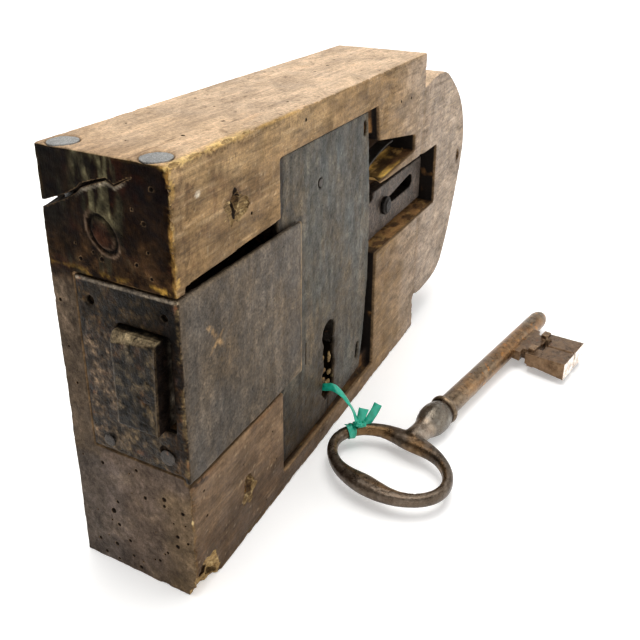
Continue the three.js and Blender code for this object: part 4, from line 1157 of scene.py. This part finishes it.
# smith's union: the three forged parts become one skin
src = bpy.data.meshes.new("key_src")
bm = bmesh.new()
bmv = key_obj("k1", (bowv, bowf))
bms = key_obj("k2", (tv, tf))
for o in (bmv, bms):
    bm.from_mesh(o.data)
bm.to_mesh(src)
bm.free()
for o in (bmv, bms):
    bpy.data.objects.remove(o)
key = remeshed("key_forged", src, VK)
me = key.data
q = laplace(me, coords(me), 2, 0.5)
k = lock_to_key(q)
# soften the root of the neck and the bow more than the cut bit
soft = (k[:, 0] < 31).astype(float)
q = laplace(me, q, 8, 0.5, soft)
set_coords(me, q)
nn = normals(me)
k = lock_to_key(q)
onbit = (k[:, 0] > 104) & (k[:, 1] < -5.2)
dd = 0.16 * fbm(q, 12, 101, 3) + 0.07 * fbm(q, 2.4, 102, 4) - 0.16 * step(noise(q, 1.5, 103), 0.5, 0.85)
dd = np.where(onbit, 0.05 * fbm(q, 3.0, 104, 3) - 0.03, dd)
# tool marks on the ball
ball = step(abs(k[:, 0] - 35), 7, 4)
dd = dd + ball * (0.12 * np.cos(6 * np.arctan2(k[:, 1], k[:, 2] + 1e-9)) - 0.12)
q = q + nn * np.minimum(dd, 0.0)[:, None]
q[:, 2] = np.maximum(q[:, 2], 0.2)
set_coords(me, q)
me.materials.clear()
me.materials.append(M_KEY)


def key_tint(q, nn):
    k = lock_to_key(q)
    b = fbm(q, 8, 105, 4)
    t = np.repeat((1 + 0.18 * b)[:, None], 3, 1)
    bowp = step(20.5 - k[:, 0], 0, 4)
    t = over(t, (0.40, 0.36, 0.33), bowp)
    inner_bow = bowp * step(np.hypot(k[:, 0] / 17.0, k[:, 1] / 24.4), 1.02, 0.96)
    t = over(t, (0.62, 0.42, 0.22), inner_bow * step(b, -0.5, 0.2) * 0.85)
    t = over(t, (0.22, 0.17, 0.14), bowp * step(fbm(q, 6, 106, 4), 0.1, 0.5) * 0.7)
    ball = step(abs(k[:, 0] - 35), 8, 5)
    t = over(t, (0.78, 0.74, 0.72), ball * 0.8)
    t = over(t, t * np.array((0.98, 1.24, 1.62)), ball)
    t = over(t, (0.16, 0.13, 0.11), step(abs(k[:, 0] - 42.2), 0.9, 0.3))
    t = over(t, (0.5, 0.44, 0.4), step(abs(k[:, 0] - 46.3), 0.9, 0.3) * 0.7)
    t = over(t, (0.8, 0.74, 0.7), step(28 - k[:, 0], 0, 3) * (1 - bowp) * 0.6)
    wide = fbm(q, 16, 107, 3)
    t = over(t, (1.06, 0.82, 0.56), step(k[:, 0], 50, 95) * step(wide, -0.5, 0.3) * 0.6)
    t = over(t, (1.5, 1.08, 0.62), step(k[:, 0], 46, 58) * (k[:, 1] > -5.2) * step(fbm(q, (9, 9, 5), 109, 4), -0.1, 0.35) * 0.6)
    t = over(t, (2.4, 1.5, 0.6), step(k[:, 0], 60, 75) * (k[:, 1] > -5.2) * step(fbm(q, (2.2, 2.2, 2.2), 110, 3), 0.34, 0.44) * 0.75)
    t = over(t, (1.12, 0.76, 0.4), step(k[:, 0], 88, 110) * step(fbm(q, 5, 108, 4), 0.0, 0.4) * 0.6)
    # painted highlight: pale streak along one side of the shank just past the collar
    t = over(t, (1.5, 1.42, 1.3), step(k[:, 1], 2.0, 4.2) * step(k[:, 0], 48, 54) * step(b, -0.4, 0.3) * 0.3)
    onb = ((k[:, 0] > 104) & (k[:, 1] < -5.2)).astype(float)
    t = over(t, (0.86, 0.74, 0.66), onb * 0.8)
    t = over(t, (1.5, 1.35, 1.2), onb * step(abs(k[:, 2]), 4.8, 5.1) * 0.8)
    facebit = (k[:, 1] < -29.0) * step(np.abs(nn @ np.array([sk, -ck, 0])), 0.35, 0.6)
    t = over(t, (3.3, 3.5, 3.9), facebit * (k[:, 0] > 104))
    t = t * over(np.full_like(t, 1.0), (0.66, 0.56, 0.44), step(k[:, 0], 24, 30) * (1 - facebit * (k[:, 0] > 104)))
    return t


t = key_tint(q, normals(me))
color_attribute(me, "col", np.clip(t, 0, 4))
shade(key)
bm_me = bit.data
q = laplace(bm_me, coords(bm_me), 1, 0.35)
set_coords(bm_me, q)
nb_ = normals(bm_me)
q = q + nb_ * np.minimum(0, 0.05 * fbm(q, 4.0, 104, 3) - 0.02)[:, None]
q[:, 2] = np.maximum(q[:, 2], 0.2)
set_coords(bm_me, q)
bm_me.materials.clear()
bm_me.materials.append(M_KEY)
color_attribute(bm_me, "col", np.clip(key_tint(q, normals(bm_me)), 0, 5))
bit.name = "key_bit"
shade(bit)
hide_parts("key")
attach(bit, "loose_key")
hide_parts("key")
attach(key, "loose_key")

# ------------------------------------------------------------------ ribbon
def strip(name, pts, width, thick, up=None, twist=(0, 0), sub=10, taper=None):
    """A flat strip along pts (lock mm). up is the direction across its width at each point."""
    P = [np.array(q, float) for q in pts]
    line, ups = [], []
    U = [np.array(q, float) for q in up]
    for i in range(len(P) - 1):
        p0, p1, p2, p3 = P[max(0, i - 1)], P[i], P[i + 1], P[min(len(P) - 1, i + 2)]
        for t in np.linspace(0, 1, sub, endpoint=False):
            line.append(0.5 * ((2 * p1) + (-p0 + p2) * t + (2 * p0 - 5 * p1 + 4 * p2 - p3) * t * t + (-p0 + 3 * p1 - 3 * p2 + p3) * t ** 3))
            ups.append(U[i] * (1 - t) + U[i + 1] * t)
    line.append(P[-1])
    ups.append(U[-1])
    line, ups = np.array(line), np.array(ups)
    verts, faces = [], []
    cols = 7
    for i in range(len(line)):
        tg = line[min(i + 1, len(line) - 1)] - line[max(i - 1, 0)]
        tg /= np.linalg.norm(tg)
        a = ups[i] - tg * (ups[i] @ tg)
        a /= np.linalg.norm(a)
        nrm = np.cross(tg, a)
        wd = width * (1 if taper is None else np.interp(i / (len(line) - 1), [0, 1], taper))
        for side in (1, -1):
            for k in range(cols):
                s = (k / (cols - 1) - 0.5) * 2
                cup = 0.10 * width * (1 - s * s) + 0.04 * width * math.sin(3.1 * s + i * 0.35)
                e = thick * (0.5 if abs(s) < 0.99 else 0.15)
                verts.append(tuple(line[i] + a * s * wd / 2 * side + nrm * (cup * 1.0 + e * side)))
    n = 2 * cols
    for i in range(len(line) - 1):
        for k in range(n):
            faces.append((i * n + k, i * n + (k + 1) % n, (i + 1) * n + (k + 1) % n, (i + 1) * n + k))
    faces.append(tuple(reversed(range(n))))
    faces.append(tuple((len(line) - 1) * n + k for k in range(n)))
    o = link(bpy.data.objects.new(name, fix(raw(name, verts, faces, M_RIBBON))))
    return shade(o), line


STRAND = [(97.9, 13.6, 18.4), (97.6, 9.8, 20.0), (97.3, 6.2, 21.4), (97.1, 3.2, 22.0), (97.0, 1.6, 22.6), (97.0, -0.6, 23.3), (97.0, -3.2, 22.8), (96.7, -6.6, 20.7), (96.2, -9.8, 18.0), (95.4, -12.4, 14.6), (94.6, -14.1, 11.6), (94.2, -14.6, 10.2)]
UPS = [(0.2, 0, 1), (0.2, 0, 1), (0.2, 0, 1), (0.2, 0.1, 1), (0.3, 0.1, 0.9), (0.5, 0.2, 0.8), (0.8, 0.3, 0.4), (0.9, 0.4, 0.1), (1, 0.4, -0.1), (1, 0.3, -0.1), (1, 0.1, 0), (1, 0, 0)]
strand, line = strip("ribbon", STRAND, 3.2, 0.28, UPS)
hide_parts("ribbon_strand")
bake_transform(strand)


def loop_band(name, center, axis, tang, ra, rb, width, thick, sweep=(0, 360), tilt=0.0, seed=0, n=60):
    """A flat band wound round the bow's rim."""
    A = Vector(tang).normalized()  # along the rim
    B = Vector(axis).normalized()  # up
    C = A.cross(B)                 # outward
    pts, ups = [], []
    for i in range(n + 1):
        t = math.radians(sweep[0] + (sweep[1] - sweep[0]) * i / n)
        q = Vector(center) + C * (ra * math.cos(t)) + B * (rb * math.sin(t)) + A * (tilt * i / n)
        pts.append(tuple(q))
        ups.append(tuple(A))
    return strip(name, pts, width, thick, ups, sub=1)[0]


KNOT = Vector((94.3, -14.4, 10.7))


def on_bow(u, v, z=0.0):
    return Vector(key_to_lock([(u, v, z)])[0])


RU = 7.2
ra_ = math.acos(RU / 17.6)
rim_c = on_bow(RU, 24.9 * math.sin(ra_))
rim_t = on_bow(RU - 17.6 * math.sin(ra_), 24.9 * math.sin(ra_) + 24.9 * math.cos(ra_)) - rim_c
wrap_a = loop_band("ribbon_wrap_a", rim_c - rim_t.normalized() * 0.3, (0, 0, 1), rim_t, 2.85, 3.1, 2.7, 0.25, sweep=(-100, 262), tilt=1.6)
wrap_b = loop_band("ribbon_wrap_b", rim_c + rim_t.normalized() * 2.4, (0, 0, 1), rim_t, 3.05, 3.35, 2.5, 0.25, sweep=(60, 422), tilt=-2.6)
for o in (wrap_a, wrap_b):
    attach(o, "loose_key")

knot_parts = []
for i, (axis, tang, ra, rb, wd, off) in enumerate((((0.2, 0.1, 1), (0.72, -0.69, 0.1), 2.1, 1.5, 2.5, (0, 0, 0.0)), ((0.7, 0.7, 0.3), (0.1, -0.3, 1), 1.9, 1.5, 2.2, (0.3, -0.3, 0.3)),
                                                   ((-0.5, 0.8, 0.2), (0.7, 0.5, 0.5), 1.7, 1.4, 2.0, (-0.4, 0.3, -0.2)))):
    knot_parts.append(loop_band("ribbon_knot_%d" % i, KNOT + Vector(off), axis, tang, ra, rb, wd, 0.3, sweep=(10 * i, 340 + 10 * i), tilt=0.9, n=40))
for o in knot_parts:
    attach(o, "tie")
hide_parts("ribbon_knot")

tail_a, _ = strip("ribbon_tail_one", [tuple(KNOT + Vector((0.2, 0.1, 0.3))), (96.6, -15.9, 10.3), (98.5, -17.1, 10.0), (101.0, -19.0, 14.2), (103.0, -20.0, 17.4)], 3.6, 0.25,
                  [(-0.3, 0.7, 0.6), (-0.2, 0.7, 0.6), (-0.22, 0.85, 0.47), (-0.22, 0.85, 0.47), (-0.22, 0.85, 0.47)], taper=(0.9, 1.0))
tail_b, _ = strip("ribbon_tail_two", [tuple(KNOT + Vector((0.4, -0.2, 0.5))), (95.7, -14.9, 12.2), (97.0, -15.3, 14.6), (98.0, -15.6, 16.9)], 4.3, 0.25,
                  [(-0.3, 0.9, 0.3), (-0.34, 0.9, 0.27), (-0.34, 0.9, 0.27), (-0.6, 0.8, 0.0)], taper=(0.6, 1.05))
for o, nm in ((tail_a, "ribbon_tail_a"), (tail_b, "ribbon_tail_b")):
    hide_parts(nm)
    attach(o, "tie")

# ------------------------------------------------------------------ floor
fm = bpy.data.materials.new("floor")
fm.use_nodes = True
fb = fm.node_tree.nodes["Principled BSDF"]
fb.inputs["Base Color"].default_value = (0.93, 0.93, 0.93, 1)
fb.inputs["Roughness"].default_value = 0.9
fb.inputs["Specular IOR Level"].default_value = 0.1
fb.inputs["Emission Color"].default_value = (1, 1, 1, 1)
fb.inputs["Emission Strength"].default_value = 0.26
me = bpy.data.meshes.new("floor")
me.from_pydata([(-6, -6, 0), (6, -6, 0), (6, 6, 0), (-6, 6, 0)], [], [(0, 1, 2, 3)])
me.materials.append(fm)
floor = link(bpy.data.objects.new("floor", me))
bm_ = bpy.data.materials.new("backdrop")
bm_.use_nodes = True
bb = bm_.node_tree.nodes["Principled BSDF"]
bb.inputs["Base Color"].default_value = (0.3, 0.3, 0.3, 1)
bb.inputs["Emission Color"].default_value = (1, 1, 1, 1)
bb.inputs["Emission Strength"].default_value = 0.95
ring, wall = 48, []
for zz in (-0.01, 2.6):
    wall += [(5.5 * math.cos(2 * math.pi * k / ring), 5.5 * math.sin(2 * math.pi * k / ring), zz) for k in range(ring)]
me = bpy.data.meshes.new("backdrop")
me.from_pydata(wall, [], [(k, ring + k, ring + (k + 1) % ring, (k + 1) % ring) for k in range(ring)])
me.materials.append(bm_)
backdrop = link(bpy.data.objects.new("backdrop", me))
